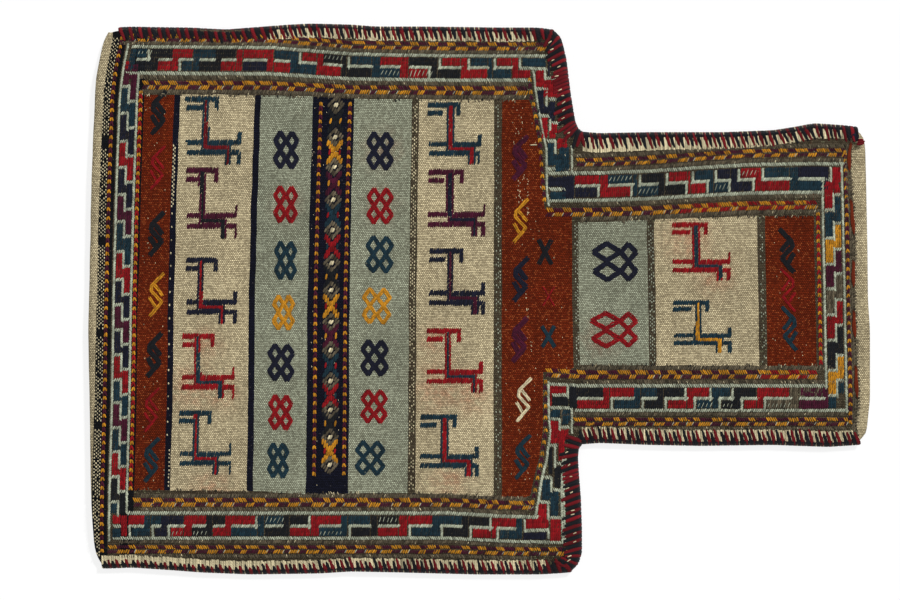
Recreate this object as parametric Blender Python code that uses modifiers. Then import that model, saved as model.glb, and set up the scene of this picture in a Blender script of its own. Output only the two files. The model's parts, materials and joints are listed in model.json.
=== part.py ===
"""Flat-woven wool salt bag, laid on its back: a broad body that narrows to a neck with an open mouth.

One length of cloth is folded at the bottom (-X), its two layers are closed along the sides,
shoulders and neck with overcast yarn, and motifs of wrapped weft stand proud of the front.
Metres, +X from the fold to the mouth, +Y across the bag, +Z up.
"""
import math

import bmesh
import bpy
import numpy as np

for old_object in list(bpy.data.objects):
    bpy.data.objects.remove(old_object, do_unlink=True)

# Cloth and pocket
CLOTH_THICKNESS = 0.0024
POCKET_GAP = 0.0080         # clear height between the two layers inside the bag
SEAM_GAP = 0.0003           # the same at the sewn edges
SEAM_LIFT = 0.0020          # how far the overcast yarn holds the edge of the back off the floor
SLOPE_WIDTH = 0.035         # from a sewn edge to the level part of each layer
SEAM_FLANGE = 0.010         # straight first part of that slope, which the yarn wraps
FOLD_SEGMENTS = 5

# Lengths along X, from the fold to the mouth
BORDER_WIDTH = 0.0384
BODY_BANDS = (("rust", 0.0247), ("cream", 0.0600), ("pale_blue", 0.0435), ("navy", 0.0300),
              ("pale_blue", 0.0450), ("cream", 0.0653), ("rust", 0.0620))
NECK_BANDS = (("pale_blue", 0.0542), ("cream", 0.0848), ("rust", 0.0375))
MOUTH_BORDER_WIDTH = 0.0300
BACK_REACH = 0.0100         # the back runs on past the front at the mouth

# Widths along Y, of the cloth alone
BODY_UPPER = 0.2030
BODY_LOWER = 0.2040
NECK_UPPER = 0.1238
NECK_LOWER = 0.1092
SIDE_BORDER = 0.0560        # patterned border along the body's sides
NECK_BORDER = 0.0600

# How the hand-woven outline wanders, as (share of the length, offset) pairs
UPPER_SWAY = ((0.0, -0.0050), (0.05, 0.0), (0.28, -0.0010), (0.45, 0.0016), (0.7, 0.0), (1.0, -0.0020))
LOWER_SWAY = ((0.0, 0.0060), (0.06, 0.0010), (0.33, -0.0012), (0.55, 0.0010), (1.0, -0.0006))
NECK_UPPER_SWAY = ((0.0, 0.0), (0.5, -0.0012), (0.85, 0.0045), (1.0, 0.0020))
NECK_LOWER_SWAY = ((0.0, 0.0), (0.6, 0.0004), (1.0, 0.0030))
FOLD_BOW_UPPER = 0.0105
FOLD_BOW_LOWER = 0.0055
UPPER_SHOULDER_SLANT = 0.20
FOLD_LEAN = 0.024           # the weft leans this much per metre of width at the fold
MOUTH_LEAN = -0.035

# Overcast yarn along the sewn edges
YARN_CLEARANCE = 0.0005
YARN_THICKNESS = 0.0010
YARN_REACH = 0.0090
STITCH_PITCH = 0.0100
STITCH_VALLEY = 0.45
CORNER_CLEARANCE = 0.004

# Motifs of wrapped weft on the front
MOTIF_THICKNESS = 0.0008
MOTIF_CLEARANCE = 0.0003
GOAT_SIZE = (0.0400, 0.0480)
NECK_GOAT_SIZE = (0.0440, 0.0400)
CROSS_SIZE = (0.0205, 0.0300)
NECK_CROSS_SIZE = (0.0370, 0.0305)
HOOK_SIZE = (0.0105, 0.0290)
SALTIRE_SIZE = (0.0105, 0.0165)
DIAMOND_PITCH = 0.0224
DIAMOND_SIZE = 0.0110
DIAMOND_COUNT = 14
LOZENGE_HALF_WIDTH = 0.0033
CHAIN_WAIST = 0.0008
DIAMOND_FIRST_Y = 0.1451
MOUTH_STITCH_WIDTH = 0.0026
MOUTH_STITCH_INSET = 0.0020

# Motif places: (centre y, colour) down each column
GOATS_LEFT = ((0.1264, "teal"), (0.0716, "plum"), (0.0060, "navy"), (-0.0506, "crimson"), (-0.1080, "teal"))
GOATS_RIGHT = ((0.1238, "teal"), (0.0716, "plum"), (0.0128, "navy"), (-0.0465, "crimson"), (-0.1102, "teal"))
GOATS_NECK = ((0.0353, "crimson"), (-0.0213, "teal"))
CROSSES_LEFT = ((0.1114, "navy"), (0.0705, "crimson"), (0.0285, "teal"), (-0.0105, "gold"),
                (-0.0480, "navy"), (-0.0855, "crimson"), (-0.1215, "teal"))
CROSSES_RIGHT = ((0.1106, "navy"), (0.0694, "crimson"), (0.0330, "teal"), (-0.0056, "gold"),
                 (-0.0446, "navy"), (-0.0810, "crimson"), (-0.1196, "teal"))
CROSSES_NECK = ((0.0278, "navy"), (-0.0233, "crimson"))
HOOKS_LEFT = ((0.1429, "black"), (0.0964, "crimson"), (0.0499, "black"), (0.0026, "gold"),
              (-0.0424, "black"), (-0.0836, "crimson"), (-0.1211, "teal"))
HOOKS_RIGHT = ((0.1076, "plum"), (0.0574, "gold"), (0.0139, "navy"), (-0.0311, "plum"),
               (-0.0739, "cream"), (-0.1174, "teal"))
SALTIRES_BODY = ((0.0349, "black"), (0.0026, "crimson"), (-0.0281, "teal"))
SALTIRES_NECK = ((0.0364, "black"), (-0.0221, "teal"))
MOUTH_STITCHES = ((0.1055, 0.0180), (0.0611, 0.0270), (0.0188, 0.0200), (-0.0191, 0.0210), (-0.0623, 0.0250))
HOOKS_RIGHT_OFFSET = -0.0120    # from the middle of their band
SALTIRES_BODY_OFFSET = 0.0070

WOOL = {
    "cream": (0.60, 0.53, 0.38),
    "pale_blue": (0.33, 0.35, 0.26),
    "rust": (0.24, 0.045, 0.018),
    "crimson": (0.22, 0.008, 0.014),
    "navy": (0.012, 0.014, 0.032),
    "black": (0.008, 0.010, 0.013),
    "teal": (0.012, 0.060, 0.070),
    "gold": (0.50, 0.22, 0.020),
    "plum": (0.055, 0.010, 0.028),
}
WOOL_ROUGHNESS = 0.92

BODY_LENGTH = BORDER_WIDTH + sum(width for colour, width in BODY_BANDS)
NECK_LENGTH = sum(width for colour, width in NECK_BANDS) + MOUTH_BORDER_WIDTH
FOLD_X = -(BODY_LENGTH + NECK_LENGTH + BACK_REACH) / 2
SHOULDER_X = FOLD_X + BODY_LENGTH
MOUTH_X = SHOULDER_X + NECK_LENGTH
PLATEAU_TOP = 2 * CLOTH_THICKNESS + POCKET_GAP

model = bpy.data.collections.new("salt_bag")
bpy.context.scene.collection.children.link(model)
bag_frame = bpy.data.objects.new("bag_frame", None)
model.objects.link(bag_frame)


def wool_material(colour):
    """The material of one dyed wool, made the first time it is asked for."""
    name = f"wool_{colour}"
    material = bpy.data.materials.get(name)
    if material is None:
        material = bpy.data.materials.new(name)
        material.use_nodes = True
        shader = material.node_tree.nodes["Principled BSDF"]
        shader.inputs["Base Color"].default_value = (*WOOL[colour], 1.0)
        shader.inputs["Roughness"].default_value = WOOL_ROUGHNESS
        shader.inputs["Metallic"].default_value = 0.0
    return material


def add_part(name, data, colours):
    """Put a mesh or curve into the model as one named part with its wools."""
    part = bpy.data.objects.new(name, data)
    for colour in colours:
        data.materials.append(wool_material(colour))
    part.parent = bag_frame
    model.objects.link(part)
    return part


def sway(pairs, share):
    """Offset of a hand-woven edge at a share of its length."""
    shares, offsets = zip(*pairs)
    return float(np.interp(share, shares, offsets))


def body_share(x):
    return (x - FOLD_X) / BODY_LENGTH


def neck_share(x):
    return (x - SHOULDER_X) / NECK_LENGTH


def body_upper_y(x):
    return BODY_UPPER + sway(UPPER_SWAY, body_share(x))


def body_lower_y(x):
    return -BODY_LOWER + sway(LOWER_SWAY, body_share(x))


def neck_upper_y(x):
    return NECK_UPPER + sway(NECK_UPPER_SWAY, neck_share(x))


def neck_lower_y(x):
    return -NECK_LOWER + sway(NECK_LOWER_SWAY, neck_share(x))


def lean(x):
    """Slant of the weft at x: one way at the fold, none at the shoulder, the other way at the mouth."""
    return float(np.interp(x, (FOLD_X, SHOULDER_X, MOUTH_X), (FOLD_LEAN, 0.0, MOUTH_LEAN)))


def shoulder_x(y):
    """The shoulder edge: square below the neck, slanting back above it."""
    return SHOULDER_X - UPPER_SHOULDER_SLANT * max(0.0, y - NECK_UPPER)


def fold_x(y):
    """The outer line of the bottom fold, bowed back towards both corners."""
    if y > 0:
        return FOLD_X + FOLD_BOW_UPPER * (y / BODY_UPPER) ** 2
    return FOLD_X + FOLD_BOW_LOWER * (y / BODY_LOWER) ** 2


def rise(distance):
    """Share of the full height at a distance from the nearest sewn edge."""
    share = min(max(distance / SLOPE_WIDTH, 0.0), 1.0)
    return share * share * (3 - 2 * share)


def layer_heights(distance):
    """Middle heights of the back and the front layer at a distance from the sewn edge."""
    half = CLOTH_THICKNESS / 2
    back = half + SEAM_LIFT * (1 - rise(distance))
    gap = SEAM_GAP + (POCKET_GAP - SEAM_GAP) * rise(distance)
    return back, back + CLOTH_THICKNESS + gap


def slope_offsets():
    """Distances from a sewn edge at which the cloth has a line of points."""
    return (0.0, SEAM_FLANGE, (SEAM_FLANGE + SLOPE_WIDTH) / 2, SLOPE_WIDTH)


def across_body(x):
    """Heights in y of the columns of points in the body, from the upper to the lower edge."""
    offsets = slope_offsets()
    upper = [body_upper_y(x) - offset for offset in (*offsets, SIDE_BORDER)]
    lower = [body_lower_y(x) + offset for offset in (SIDE_BORDER, *reversed(offsets))]
    return upper + across_neck(SHOULDER_X) + lower


def across_neck(x):
    offsets = slope_offsets()
    upper = [neck_upper_y(x) - offset for offset in (*offsets, NECK_BORDER)]
    lower = [neck_lower_y(x) + offset for offset in (NECK_BORDER, *reversed(offsets))]
    return upper + lower


SIDE_COLUMNS = len(slope_offsets()) + 1     # columns of the body outside the neck, on each side


def edge_distance(x, y):
    """Distance from a point of the bag to its nearest sewn edge."""
    if x > SHOULDER_X:
        return min(neck_upper_y(x) - y, y - neck_lower_y(x))
    to_side = min(body_upper_y(x) - y, y - body_lower_y(x))
    to_shoulder = shoulder_x(y) - x
    beside_neck = max(0.0, min(NECK_UPPER - y, y + NECK_LOWER))
    return min(to_side, math.hypot(to_shoulder, beside_neck))


def band_starts(first_x, bands):
    """The x at which each band starts, and the x where the last one ends."""
    starts = [first_x]
    for colour, width in bands:
        starts.append(starts[-1] + width)
    return starts


def cloth_rows():
    """Rows of points from the fold to the end of the back, each as (kind, x)."""
    body_starts = band_starts(FOLD_X + BORDER_WIDTH, BODY_BANDS)[:-1]
    neck_starts = band_starts(SHOULDER_X, NECK_BANDS)[1:]
    near_fold = FOLD_X + PLATEAU_TOP / 2
    rows = [("fold", near_fold), ("body", FOLD_X + BORDER_WIDTH / 2)]
    rows += [("body", x) for x in body_starts]
    rows += [("shoulder", -offset) for offset in reversed(slope_offsets())]
    middle_of_cream = (neck_starts[0] + neck_starts[1]) / 2
    rows += [("neck", x) for x in sorted([*neck_starts, middle_of_cream, MOUTH_X])]
    return rows


def row_points(kind, x):
    """The (x, y) points of one row, upper edge first, or None where the neck is narrower."""
    if kind == "neck":
        points = [(x + lean(x) * y, y) for y in across_neck(x)]
        nothing = [None] * SIDE_COLUMNS
        return nothing + points + nothing
    if kind == "shoulder":
        return [(shoulder_x(y) + x, y) for y in across_body(SHOULDER_X + x)]
    if kind == "fold":
        points = []
        for y in across_body(x):
            back, front = layer_heights(edge_distance(x, y))
            points.append((fold_x(y) + (front - back + CLOTH_THICKNESS) / 2, y))
        return points
    return [(x + lean(x) * y, y) for y in across_body(x)]


def cloth_stations():
    """The whole sheet, row by row: along the front to the fold, round it and back to the mouth."""
    rows = [row_points(kind, x) for kind, x in cloth_rows()]
    front = [[point and (*point, layer_heights(edge_distance(*point))[1]) for point in row] for row in rows]
    back = [[point and (*point, layer_heights(edge_distance(*point))[0]) for point in row] for row in rows]
    fold = []
    for step in range(1, FOLD_SEGMENTS):
        angle = math.pi * step / FOLD_SEGMENTS
        ring = []
        for top, bottom in zip(front[0], back[0]):
            radius = (top[2] - bottom[2]) / 2
            ring.append((top[0] - radius * math.sin(angle), top[1],
                         bottom[2] + radius * (1 + math.cos(angle))))
        fold.append(ring)
    reach = [point and (point[0] + BACK_REACH, point[1], point[2]) for point in back[-1]]
    return front[::-1] + fold + back + [reach]


def field_colour(x, y):
    """The wool of the ground at a point of the front: borders dark, fields in bands."""
    if x > SHOULDER_X:
        near_side = min(neck_upper_y(x) - y, y - neck_lower_y(x)) < NECK_BORDER
        bands = NECK_BANDS
        starts = band_starts(SHOULDER_X, NECK_BANDS)
    else:
        near_side = min(body_upper_y(x) - y, y - body_lower_y(x)) < SIDE_BORDER
        bands = BODY_BANDS
        starts = band_starts(FOLD_X + BORDER_WIDTH, BODY_BANDS)
    if near_side or x < FOLD_X + BORDER_WIDTH:
        return "navy"
    for (colour, width), start in zip(bands, starts):
        if start <= x < start + width:
            return colour
    return "navy"


def grid_mesh(bm, rows, columns):
    """A grid of quads whose points are reached by [row][column]."""
    bmesh.ops.create_grid(bm, x_segments=rows - 1, y_segments=columns - 1, size=1.0)
    table = [[None] * columns for row in range(rows)]
    for vertex in bm.verts:
        row = round((vertex.co.x + 1) / 2 * (rows - 1))
        column = round((vertex.co.y + 1) / 2 * (columns - 1))
        table[row][column] = vertex
    return table


def woven_cloth():
    """Front, bottom fold and back as one sheet, thickened to the cloth's real section."""
    stations = cloth_stations()
    bm = bmesh.new()
    table = grid_mesh(bm, len(stations), len(stations[0]))
    unused = []
    for vertices, points in zip(table, stations):
        for vertex, point in zip(vertices, points):
            if point is None:
                unused.append(vertex)
            else:
                vertex.co = point
    bmesh.ops.delete(bm, geom=unused, context="VERTS")
    colours = sorted(WOOL)
    front_points = {vertex for vertices in table[:len(cloth_rows())] for vertex in vertices}
    for face in bm.faces:
        centre = face.calc_center_median()
        colour = field_colour(centre.x, centre.y) if front_points.issuperset(face.verts) else "cream"
        face.material_index = colours.index(colour)
    bmesh.ops.recalc_face_normals(bm, faces=bm.faces)
    mesh = bpy.data.meshes.new("woven_cloth")
    bm.to_mesh(mesh)
    bm.free()
    cloth = add_part("woven_cloth", mesh, colours)
    wall = cloth.modifiers.new("cloth_thickness", "SOLIDIFY")
    wall.thickness = CLOTH_THICKNESS
    wall.offset = 0.0
    wall.use_even_offset = True
    return cloth


def overcast_section():
    """Inner line of the yarn round a sewn edge, as (distance inward, height), top to bottom."""
    half = CLOTH_THICKNESS / 2 + YARN_CLEARANCE
    back_edge, front_edge = layer_heights(0.0)
    back_lip, front_lip = layer_heights(SEAM_FLANGE)
    share = YARN_REACH / SEAM_FLANGE
    back_lip = back_edge + (back_lip - back_edge) * share
    front_lip = front_edge + (front_lip - front_edge) * share
    return ((YARN_REACH, front_lip + half), (-YARN_CLEARANCE, front_edge + half),
            (-YARN_CLEARANCE, back_edge - half), (YARN_REACH, back_lip - half))


def overcast(name, colour, start, end, place):
    """Yarn wrapped over a sewn edge from start to end; place gives its (x, y) for (run, inward)."""
    stitches = max(2, round(abs(end - start) / STITCH_PITCH))
    rows = 2 * stitches + 1
    section = overcast_section()
    bm = bmesh.new()
    table = grid_mesh(bm, rows, len(section))
    for index, vertices in enumerate(table):
        run = start + (end - start) * index / (rows - 1)
        for vertex, (inward, height) in zip(vertices, section):
            vertex.co = (*place(run, inward), height)
    bm.normal_update()
    outward = np.subtract(place(start, -YARN_REACH), place(start, 0.0))
    edge_face = next(face for face in bm.faces if {table[0][1], table[0][2]} <= set(face.verts))
    if np.dot(edge_face.normal[:2], outward) < 0:
        bmesh.ops.reverse_faces(bm, faces=bm.faces)
    bm.verts.index_update()
    mesh = bpy.data.meshes.new(name)
    bm.to_mesh(mesh)
    outer = {table[index][column].index: index % 2 for index in range(rows) for column in range(len(section))}
    bm.free()
    yarn = add_part(name, mesh, (colour,))
    crests = yarn.vertex_groups.new(name="crests")
    for vertex_index, crest in outer.items():
        crests.add([vertex_index], 1.0 if crest else STITCH_VALLEY, "REPLACE")
    wall = yarn.modifiers.new("yarn_thickness", "SOLIDIFY")
    wall.thickness = YARN_THICKNESS
    wall.offset = 1.0
    wall.vertex_group = "crests"
    return yarn


def edge_line(rows, column):
    """One column of points of the given rows as (x list, y list), in rising x."""
    points = [row[column] for row in rows if row[column] is not None]
    return [point[0] for point in points], [point[1] for point in points]


def overcast_edges():
    """The six runs of overcast yarn: body side, shoulder and neck side, above and below."""
    rows = [row_points(kind, x) for kind, x in cloth_rows()]
    body_rows = [row for row, (kind, x) in zip(rows, cloth_rows()) if kind != "neck"]
    neck_rows = rows[len(body_rows) - 1:]
    last = len(rows[0]) - 1
    first_x = FOLD_X + max(FOLD_BOW_UPPER, FOLD_BOW_LOWER) + PLATEAU_TOP
    yarns = []
    for side, word, colour in ((1, "upper", "crimson"), (-1, "lower", "navy")):
        body_column = 0 if side > 0 else last
        neck_column = SIDE_COLUMNS if side > 0 else last - SIDE_COLUMNS
        body_x, body_y = edge_line(body_rows, body_column)
        neck_x, neck_y = edge_line(neck_rows, neck_column)

        def on_body(x, inward):
            return x, float(np.interp(x, body_x, body_y)) - side * inward

        def on_neck(x, inward):
            return x, float(np.interp(x, neck_x, neck_y)) - side * inward

        def on_shoulder(y, inward):
            return shoulder_x(y) - inward, y

        past_yarn = YARN_REACH + CORNER_CLEARANCE
        yarns.append(overcast(f"overcast_body_{word}", colour, first_x,
                              body_x[-1] - CORNER_CLEARANCE, on_body))
        yarns.append(overcast(f"overcast_shoulder_{word}", colour, neck_y[0] + side * CORNER_CLEARANCE,
                              body_y[-1] - side * past_yarn, on_shoulder))
        yarns.append(overcast(f"overcast_neck_{word}", colour, neck_x[0] + CORNER_CLEARANCE,
                              neck_x[-1] - CORNER_CLEARANCE, on_neck))
    return yarns


def scaled(points, size):
    """Points given in a square from -1 to 1, at a real width and height."""
    return [(x * size[0] / 2, y * size[1] / 2) for x, y in points]


def goat_outline():
    """A standing goat turned on its side: feet to the left, head down to the right."""
    feet, belly, back, dock, tail = -1.0, -0.6, -0.28, -0.07, 0.06
    chest, neck, horn, nose = 0.28, 0.58, 0.85, 1.0
    rump, rump_low, hind, hind_low, tail_tip = 1.0, 0.85, 0.72, 0.60, 0.58
    fore, fore_low, knee, knee_low, chin, horn_tip = -0.30, -0.45, -0.58, -0.72, -1.0, -0.05
    return [[
        (feet, rump), (tail, rump), (tail, tail_tip), (dock, tail_tip), (dock, rump_low),
        (back, rump_low), (back, fore), (horn, fore), (horn, horn_tip), (nose, horn_tip), (nose, chin),
        (horn, chin), (horn, knee_low), (neck, knee_low), (neck, chin), (chest, chin), (chest, knee_low),
        (feet, knee_low), (feet, knee), (belly, knee), (belly, fore_low), (feet, fore_low), (feet, fore),
        (belly, fore), (belly, hind_low), (feet, hind_low), (feet, hind), (belly, hind),
        (belly, rump_low), (feet, rump_low),
    ]]


def cross_outline():
    """Four open diamonds joined round a fifth: an outline with five diamond holes."""
    notch, peak, flank, waist = 0.66, 0.40, 0.46, 0.60
    outer = [(-peak, 1.0), (0.0, notch), (peak, 1.0), (1.0, flank), (waist, 0.0), (1.0, -flank),
             (peak, -1.0), (0.0, -notch), (-peak, -1.0), (-1.0, -flank), (-waist, 0.0), (-1.0, flank)]
    arm, arm_hole, middle_hole = 0.44, 0.24, 0.20
    holes = [diamond(arm * x, arm * y, arm_hole) for x in (-1, 1) for y in (-1, 1)]
    return [outer, diamond(0.0, 0.0, middle_hole), *holes]


def diamond(x, y, half):
    return [(x - half, y), (x, y + half), (x + half, y), (x, y - half)]


def hook_outline():
    """A slanting double hook."""
    return [[
        (-1.0, 0.62), (0.60, 1.0), (1.0, 0.78), (-0.35, 0.42), (1.0, -0.10), (1.0, -0.62),
        (-0.20, -1.0), (-1.0, -0.80), (0.18, -0.58), (0.18, -0.30), (-1.0, 0.18),
    ]]


def saltire_outline():
    """A small diagonal cross."""
    arm = [(0.0, 0.32), (0.62, 1.0), (1.0, 0.80), (0.42, 0.0), (1.0, -0.80), (0.62, -1.0)]
    return [[*arm, *[(-x, -y) for x, y in arm]]]


def chain_outline():
    """Diamonds down the middle band with a smaller lozenge between each two, as one chain."""
    half = DIAMOND_SIZE / 2
    right = []
    for index in range(DIAMOND_COUNT):
        centre = DIAMOND_FIRST_Y - index * DIAMOND_PITCH
        right += [(CHAIN_WAIST, centre + half), (half, centre), (CHAIN_WAIST, centre - half)]
        if index < DIAMOND_COUNT - 1:
            right.append((LOZENGE_HALF_WIDTH, centre - DIAMOND_PITCH / 2))
    return [[*right, *[(-x, y) for x, y in reversed(right)]]]


def motif(name, loops, colour, x, y):
    """A flat shape of wrapped weft lying on the level part of the front."""
    curve = bpy.data.curves.new(name, "CURVE")
    curve.dimensions = "2D"
    curve.fill_mode = "BOTH"
    curve.extrude = MOTIF_THICKNESS / 2
    for loop in loops:
        spline = curve.splines.new("POLY")
        spline.points.add(len(loop) - 1)
        spline.use_cyclic_u = True
        for point, (px, py) in zip(spline.points, loop):
            point.co = (px, py, 0.0, 1.0)
    part = add_part(name, curve, (colour,))
    part.location = (x, y, PLATEAU_TOP + MOTIF_CLEARANCE + MOTIF_THICKNESS / 2)
    return part


def motif_column(word, loops, size, places, x):
    """One column of like motifs, each moved with the slant of the weft."""
    shapes = [scaled(loop, size) for loop in loops]
    for number, (y, colour) in enumerate(places, start=1):
        motif(f"{word}_{number}", shapes, colour, x + lean(x) * y, y)


def band_middles(first_x, bands):
    """The x of the middle of each band."""
    starts = band_starts(first_x, bands)
    return [(start + end) / 2 for start, end in zip(starts, starts[1:])]


def front_motifs():
    """Every column of motifs, in the middle of the band that carries it."""
    rust_1, cream_1, blue_1, navy, blue_2, cream_2, rust_2 = band_middles(FOLD_X + BORDER_WIDTH, BODY_BANDS)
    blue_3, cream_3, rust_3 = band_middles(SHOULDER_X, NECK_BANDS)
    motif_column("goat_left", goat_outline(), GOAT_SIZE, GOATS_LEFT, cream_1)
    motif_column("goat_right", goat_outline(), GOAT_SIZE, GOATS_RIGHT, cream_2)
    motif_column("goat_neck", goat_outline(), NECK_GOAT_SIZE, GOATS_NECK, cream_3)
    motif_column("cross_left", cross_outline(), CROSS_SIZE, CROSSES_LEFT, blue_1)
    motif_column("cross_right", cross_outline(), CROSS_SIZE, CROSSES_RIGHT, blue_2)
    motif_column("cross_neck", cross_outline(), NECK_CROSS_SIZE, CROSSES_NECK, blue_3)
    motif_column("hook_left", hook_outline(), HOOK_SIZE, HOOKS_LEFT, rust_1)
    motif_column("hook_right", hook_outline(), HOOK_SIZE, HOOKS_RIGHT, rust_2 + HOOKS_RIGHT_OFFSET)
    motif_column("saltire_body", saltire_outline(), SALTIRE_SIZE, SALTIRES_BODY,
                 rust_2 + SALTIRES_BODY_OFFSET)
    motif_column("saltire_neck", saltire_outline(), SALTIRE_SIZE, SALTIRES_NECK, rust_3)
    slanted = [[(x + lean(navy) * y, y) for x, y in loop] for loop in chain_outline()]
    motif("diamond_chain", slanted, "gold", navy, 0.0)


def mouth_stitches():
    """Short stitches of rust thread along the front's edge at the mouth."""
    columns = across_neck(MOUTH_X)
    heights = [layer_heights(edge_distance(MOUTH_X, y))[1] for y in columns]
    lift = CLOTH_THICKNESS / 2 + MOTIF_CLEARANCE
    for number, (middle, length) in enumerate(MOUTH_STITCHES, start=1):
        top, bottom = middle + length / 2, middle - length / 2
        stops = [top, *[y for y in columns if bottom < y < top], bottom]
        bm = bmesh.new()
        table = grid_mesh(bm, len(stops), 2)
        for vertices, y in zip(table, stops):
            height = float(np.interp(-y, [-column for column in columns], heights)) + lift
            edge = MOUTH_X + lean(MOUTH_X) * y - MOUTH_STITCH_INSET
            vertices[0].co = (edge - MOUTH_STITCH_WIDTH, y, height)
            vertices[1].co = (edge, y, height)
        bmesh.ops.recalc_face_normals(bm, faces=bm.faces)
        for face in bm.faces:
            if face.normal.z < 0:
                face.normal_flip()
        mesh = bpy.data.meshes.new(f"mouth_stitch_{number}")
        bm.to_mesh(mesh)
        bm.free()
        stitch = add_part(f"mouth_stitch_{number}", mesh, ("rust",))
        wall = stitch.modifiers.new("thread_thickness", "SOLIDIFY")
        wall.thickness = MOTIF_THICKNESS
        wall.offset = 1.0


def centre_on_floor(parts):
    """Move the whole bag so that its box stands centred on the origin."""
    bpy.context.view_layer.update()
    graph = bpy.context.evaluated_depsgraph_get()
    corners = []
    for part in parts:
        mesh = part.evaluated_get(graph).to_mesh()
        corners += [part.matrix_world @ vertex.co for vertex in mesh.vertices]
        part.evaluated_get(graph).to_mesh_clear()
    lowest = np.min(corners, axis=0)
    highest = np.max(corners, axis=0)
    bag_frame.location = (-(lowest[0] + highest[0]) / 2, -(lowest[1] + highest[1]) / 2, -lowest[2])
    bpy.context.view_layer.update()


cloth = woven_cloth()
edge_yarns = overcast_edges()
front_motifs()
mouth_stitches()
centre_on_floor([cloth, *edge_yarns])
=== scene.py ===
# %% [markdown]
# # A flat-woven salt bag
#
# The bag is one length of wool cloth, folded at the bottom (left in the picture) and closed along its
# sides with whipping yarn. Its front is a plain weave in bands of colour. Over that ground lie thousands
# of small wrapped stitches, which draw goats, crosses, hooks and the borders.
#
# A photograph could be projected on a flat sheet, but then nothing would stand up in the light, and
# nothing could be changed. So the cloth is modelled as cloth, and each wrapped stitch is a small mesh.

# %% Frame and measuring
import json
import math

import bmesh
import bpy
import numpy as np
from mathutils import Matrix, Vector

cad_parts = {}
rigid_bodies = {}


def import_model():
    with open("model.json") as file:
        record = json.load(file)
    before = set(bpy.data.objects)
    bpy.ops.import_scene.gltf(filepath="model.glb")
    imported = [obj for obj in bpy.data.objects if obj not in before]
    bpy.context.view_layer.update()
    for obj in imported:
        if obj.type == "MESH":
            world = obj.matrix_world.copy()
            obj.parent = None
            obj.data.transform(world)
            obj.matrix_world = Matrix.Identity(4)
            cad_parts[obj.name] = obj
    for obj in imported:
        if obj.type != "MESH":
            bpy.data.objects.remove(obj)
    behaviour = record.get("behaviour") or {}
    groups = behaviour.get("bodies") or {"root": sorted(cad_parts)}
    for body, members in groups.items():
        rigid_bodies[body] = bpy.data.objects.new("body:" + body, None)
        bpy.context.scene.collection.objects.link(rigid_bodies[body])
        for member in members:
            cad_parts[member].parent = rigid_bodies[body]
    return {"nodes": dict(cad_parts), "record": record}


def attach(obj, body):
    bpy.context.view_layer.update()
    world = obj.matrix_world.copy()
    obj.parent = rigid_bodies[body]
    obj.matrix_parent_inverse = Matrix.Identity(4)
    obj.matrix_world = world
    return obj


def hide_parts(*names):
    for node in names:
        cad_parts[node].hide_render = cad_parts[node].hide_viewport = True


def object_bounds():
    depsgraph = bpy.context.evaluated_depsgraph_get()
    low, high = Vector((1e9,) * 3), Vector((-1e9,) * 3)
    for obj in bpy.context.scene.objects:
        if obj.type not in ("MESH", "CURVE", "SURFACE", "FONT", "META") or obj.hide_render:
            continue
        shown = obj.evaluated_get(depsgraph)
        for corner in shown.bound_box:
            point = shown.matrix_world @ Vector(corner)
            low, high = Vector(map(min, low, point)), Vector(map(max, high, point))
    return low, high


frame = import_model()
cad_low, cad_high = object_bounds()
chance = np.random.default_rng(11)
print("the bag in millimetres:", [round(1000 * (b - a), 1) for a, b in zip(cad_low, cad_high)])

# %% [markdown]
# ## The cartoon
#
# Weavers work from a cartoon: the design drawn on squared paper, one square for a knot or a step of the
# weft. The design below is such a drawing. Its x runs from the fold to the mouth and its y runs down the
# sheet, both in squares. One function turns squares into metres, so every part of the design lands on
# the cloth in the same way.

# %% Squares to metres
FOLD_SQUARE, MOUTH_SQUARE = 87.0, 870.0
TOP_SQUARE, BOTTOM_SQUARE = 23.0, 574.0
SQUARE = (cad_high[0] - cad_low[0]) / (MOUTH_SQUARE - FOLD_SQUARE)


def to_metres(x, y):
    """Squares of the cartoon to metres in the row frame."""
    middle_x = (cad_low[0] + cad_high[0]) / 2
    middle_y = (cad_low[1] + cad_high[1]) / 2
    return (middle_x + (np.asarray(x, float) - (FOLD_SQUARE + MOUTH_SQUARE) / 2) * SQUARE,
            middle_y - (np.asarray(y, float) - (TOP_SQUARE + BOTTOM_SQUARE) / 2) * SQUARE)


MIDDLE_Y = 300      # the wefts stand upright here


def lean_x(u, y):
    """Where the weft numbered u lies at height y: the wefts lean at both ends of the bag."""
    at_fold = np.interp(y, (50, 100, 200, MIDDLE_Y, 400, 490, 560), (8, 6, 2.5, 0, -1.5, -4, -5))
    at_mouth = np.interp(y, (130, 200, MIDDLE_Y, 400, 440), (-4, -2, 0, 2, 3))
    corner_pull = np.interp(y, (38, 46, 56, 67, 87, 100), (7, 5.6, 4, 2.6, 0.8, 0))
    fading_above = np.interp(u, (90, 300, 400, 500), (1, 1, 0.6, 0))
    fading_below = np.interp(u, (175, 250, 400, 500), (1, 0.5, 0.3, 0))
    return (u + at_fold * np.where(np.asarray(y) < MIDDLE_Y, fading_above, fading_below)
            + at_mouth * np.interp(u, (500, 580, 850), (0, 0.7, 1.0))
            + corner_pull * np.interp(u, (115, 140), (1, 0)))


def weft_at(x, y):
    """The number of the weft that passes through a square: lean_x turned round."""
    u = np.asarray(x, float)
    for step in range(6):
        u = u - (lean_x(u, y) - x)
    return u


print("one square is", round(1000 * SQUARE, 4), "mm")

# %% [markdown]
# ## The outline
#
# A handmade edge is never straight. The edges are drawn as nine lines through points on the cartoon. Five
# of them bound the body and four bound the neck. The two layers of cloth share them all but the mouth,
# which has a line for each layer, because the back runs on a little further.

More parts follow.
